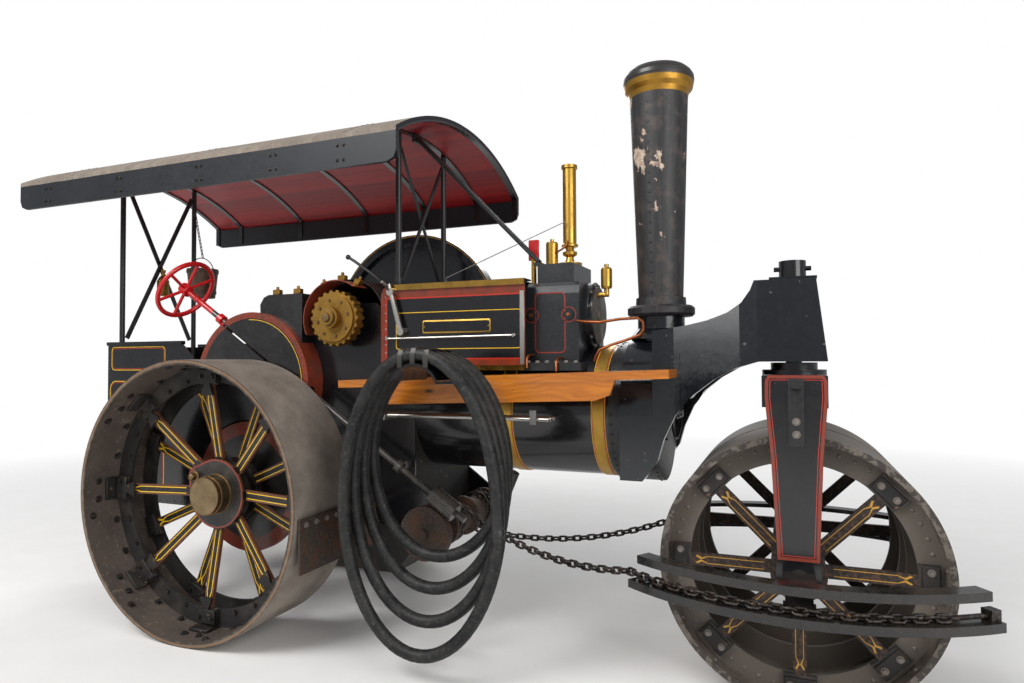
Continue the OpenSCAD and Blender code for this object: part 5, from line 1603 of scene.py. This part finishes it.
@dataclass
class Canopy:
    """The canopy: felt seams with nails, board bolts, hooks and pillar collars."""

    half: float = 0.91
    arch_r: float = 1.7225
    arch_z: float = 1.4775
    seams: tuple[float, ...] = (-1.374, -0.163, 1.02)
    hoops: tuple[float, ...] = (-1.733, -1.453, -0.76, -0.06, 0.52, 0.997, 1.328)

    def on_arch(self, x: float, y: float, lift: float = 0.0) -> Matrix:
        """Places a fitting on the roof's outer face."""
        a = math.asin(y / self.arch_r)
        r = self.arch_r + lift
        return seat(spot(x, r * math.sin(a), self.arch_z + r * math.cos(a)), (0, math.sin(a), math.cos(a)), AHEAD)

    def lay_seams(self) -> None:
        """Lays a lapped strip with nails over each seam of the felt, inside the roof's own height."""
        strips, nails = Shape(), Shape()
        spread = 2 * math.degrees(math.asin(0.9 / self.arch_r))
        r = self.arch_r
        for x in self.seams:
            wrap = seat(spot(x, 0, self.arch_z), AHEAD)
            strips.arc([(r - 0.002, -0.016), (r + 0.0015, -0.014), (r + 0.0015, 0.014), (r - 0.002, 0.016)], wrap,
                       start=90 - spread / 2, spread=spread, steps=40)
            nails.heads(Head.RIVET, 0.005, *[self.on_arch(x, 0.055 * i, 0.0012) for i in range(-16, 17)])
        strips.piece("roof_seams", Felt("roof_seam_felt", slot="roof_felt"))
        nails.piece("roof_nails", BOLT)

    def bolt_boards(self) -> None:
        """Bolts the side boards to the hoops, four bolts to each."""
        bolts = Shape()
        for side in SIDES:
            bolts.heads(Head.HEX, 0.0085, *[on_side(x + s, z, side * self.half) for x in self.hoops[1:-1] for s in
                                            (-0.012, 0.03) for z in (2.79, 2.875)], washer=0.012)
        bolts.piece("board_bolts", BOLT)

    def hang_hooks(self) -> None:
        """Hangs the hooks under the roof."""
        hooks = Shape()
        y = -0.34
        top = self.arch_z + math.sqrt((self.arch_r - 0.032) ** 2 - y * y)
        for x in (-1.379, -0.699, 0.667):
            curl = [spot(x, y, top), spot(x, y, top - 0.03)]
            curl += [spot(x + 0.018 * math.sin(a), y, top - 0.048 + 0.018 * math.cos(a))
                     for a in (math.radians(20 * i) for i in range(1, 13))]
            hooks.tube(curl, 0.004, sides=8)
        hooks.piece("roof_hooks", BOLT, smooth=60)

    def foot_pillars(self) -> None:
        """Adds a collar at each pillar."""
        collars = Shape()
        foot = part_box("canopy_pillars")[0][2]
        for x, y in ((1.017, 0.307), (-1.4327, 0.338)):
            for side in SIDES:
                place = seat(spot(x, side * y, foot if x < 0 else 2.15), UP)
                collars.turned([(0.019, 0.0), (0.034, 0.0), (0.034, 0.01), (0.026, 0.014), (0.024, 0.045),
                                (0.019, 0.047)], moved(place, 0, 0, 0.002), steps=20)
        collars.piece("pillar_collars", SATIN)

    def build(self) -> None:
        """Dresses the canopy."""
        coat(Felt("roof_felt_and_boards", slot="roof_felt"), "canopy_roof")
        coat(BOARD, "canopy_boards")
        coat(BLACK, "canopy_hoops")
        coat(SATIN, "canopy_pillars", "canopy_braces")
        self.lay_seams()
        self.bolt_boards()
        self.hang_hooks()
        self.foot_pillars()


@dataclass
class Tender:
    """The tender: its lined sides and back, and its rivets."""

    side_y: float = 0.432
    panels_x: float = -1.145
    inset: float = 0.012

    def build(self) -> None:
        """Dresses the tender and the footplate's fittings."""
        coat(BLACK, "tender")
        coat(SATIN, "drawbar")
        coat(DULL_STEEL, "controls")
        yellow, red, rivets = Shape(), Shape(), Shape()
        for side in SIDES:
            face = on_side(self.panels_x, 0.0, side * self.side_y)
            for loop, outer, inner in (((-0.275, 1.60, 0.275, 1.775), 0.03, 0.024),
                                       ((-0.29, 0.74, 0.27, 1.52), 0.06, 0.05)):
                x0, z0, x1, z1 = loop
                yellow.lining(rounded(*loop, outer), 0.005, face, rise=0.001)
                red.lining(rounded(x0 + self.inset, z0 + self.inset, x1 - self.inset, z1 - self.inset, inner), 0.003,
                           face, rise=0.001)
            rows = [(-1.44, 0.68 + 0.062 * i) for i in range(18)] + [(-1.40 + 0.07 * i, 0.662) for i in range(12)]
            rivets.heads(Head.RIVET, 0.006, *[on_side(x, z, side * self.side_y) for x, z in rows])
        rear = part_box("tender")[0][0] - REAR_X
        back = seat(spot(rear, 0.0, 0.0), ASTERN)
        yellow.lining(rounded(-0.36, 0.98, 0.36, 1.70, 0.06), 0.005, back, rise=0.0)
        yellow.piece("tender_lining", LINE_YELLOW)
        red.piece("tender_red_lining", LINE_RED)
        rivets.piece("tender_rivets", SATIN)


@dataclass
class Steering:
    """The steering gear's finishes, and the chain wound on the drum."""

    drum: tuple[float, float, float] = (1.320, 0.641, 0.092)
    links: int = 28
    pitch: float = 0.0478
    travel: float = 0.0033

    def wind_chain(self) -> None:
        """Winds the chains on both ends of the drum, clear of where their free spans leave it."""
        links = Shape()
        x, z, r = self.drum
        seat_r = r + 0.0125
        for first in (-0.28, 0.18):
            for i in range(self.links):
                a = self.pitch / seat_r * i
                on_drum = spot(x + seat_r * math.sin(a), first + self.travel * i, z + seat_r * math.cos(a))
                lean = Matrix.Rotation(math.radians(45 if i % 2 else -45), 4, "X")
                links.link(0.048, 0.033, 0.0068, seat(on_drum, (math.sin(a), 0, math.cos(a)), FAR) @ lean)
        links.piece("wound_chain", CHAIN, "drum", smooth=60)

    def build(self) -> None:
        """Dresses the steering gear."""
        for name, node, parting in (("steering_red", "steering_column", -0.34),
                                    ("bearer_red", "steering_bearers", 0.3)):
            coat(ColumnPaint(name, "c4181c", "7c2a24", 0.15, 0.22, parting=parting, slot="red_paint"), node)
        coat(RUSTED, "chain_drum")
        coat(Enamel("guide_bar_black", "0c0c0e", "6e6152", 0.3, 0.2, coat=0.4), "guide_bars")
        coat(CHAIN, "guide_chains", "chain_span_near", "chain_span_far")
        self.wind_chain()


@dataclass
class Running:
    """Side board, tool rods, saddle, axle and scrapers, with the scrapers' bolts."""

    bolt_x: float = 0.858
    bolt_z: float = 0.765

    def build(self) -> None:
        """Dresses what lies along the boiler's sides."""
        coat(VarnishedPine("varnished_pine", slot="varnished_wood"), "side_board")
        coat(STEEL, "tool_rods")
        coat(BLACK, "hose_saddle")
        coat(SATIN, "hose_fittings")
        coat(GRIMY, "rear_axle")
        coat(RUSTED, "rear_scrapers")
        bolts = Shape()
        for side in SIDES:
            edge = reach("rear_scrapers", side)
            bolts.heads(Head.HEX, 0.012, *[front_face(side * (edge - 0.05 - 0.09 * i), self.bolt_z, self.bolt_x)
                                           for i in range(5)], washer=0.017)
        bolts.piece("scraper_bolts", PALE_BOLT)


@dataclass
class Hangings:
    """What hangs under the canopy: a water bottle at the back brace and a bucket on a chain."""

    bottle: tuple[float, float, float] = (-1.4, 0.0, 2.2)
    bucket: tuple[float, float, float] = (-0.75, -0.21, 2.14)

    def build(self) -> None:
        """Builds the bottle, the bucket, its hoops, its handle and its chain."""
        bx, by, bz = self.bottle
        flask = Shape().turned([(0.0, 0.0), (0.038, 0.0), (0.046, 0.02), (0.046, 0.12), (0.03, 0.15), (0.015, 0.165),
                                (0.015, 0.19), (0.02, 0.193), (0.02, 0.21), (0.0, 0.213)], seat(spot(bx, by, bz), UP),
                               steps=24)
        flask.tube([spot(bx, by, bz + 0.205), spot(bx - 0.012, by, bz + 0.235), spot(bx - 0.0327, by, bz + 0.26)],
                   0.004)
        flask.piece("hung_flask", OLD_BRASS)
        x, y, z = self.bucket
        pail = Shape().turned([(0.0, 0.0), (0.088, 0.0), (0.11, 0.215), (0.1, 0.215), (0.08, 0.012), (0.0, 0.012)],
                              seat(spot(x, y, z), UP), steps=28)
        pail.piece("bucket", Planks("bucket_staves"))
        hoops = Shape()
        for rise, radius in ((0.03, 0.0925), (0.185, 0.1085)):
            hoops.turned([(radius - 0.001, 0.0), (radius + 0.003, 0.0), (radius + 0.0045, 0.022), (radius, 0.022)],
                         seat(spot(x, y, z + rise), UP), steps=28, closed=True)
        grip = [spot(x, y + 0.107 * math.cos(a), z + 0.2 + 0.1 * math.sin(a))
                for a in (math.radians(12 * i) for i in range(16))]
        hoops.tube(grip, 0.0035, sides=8)
        hoops.piece("bucket_hoops", RUSTED)
        links = Shape()
        top = spot(x, -0.285, 2.775)
        foot = spot(x, y, z + 0.305)
        count = int((top - foot).length / 0.026)
        for i in range(count):
            at = foot.lerp(top, (i + 0.5) / count)
            place = seat(at, AHEAD, top - foot) @ Matrix.Rotation(math.radians(90), 4, "Z")
            links.link(0.026, 0.013, 0.0028, place @ Matrix.Rotation(math.radians(90 * (i % 2)), 4, "X"))
        links.piece("bucket_chain", CHAIN, smooth=60)


def main() -> None:
    logging.basicConfig(level=logging.INFO, format="%(message)s")
    studio = Studio()
    studio.place_camera()
    parts = [SuctionHose(), RearWheel(side=-1), RearWheel(side=1),
             FrontRoll(side=-1), FrontRoll(side=1), Fork(), Boiler(), Chimney(), Engine(), Canopy(), Tender(),
             Steering(), Running(), Hangings()]
    for part in parts:
        part.build()
        log.info("built: %s", type(part).__name__)
    studio.lay_floor()
    studio.light()


if __name__ == "__main__":
    main()
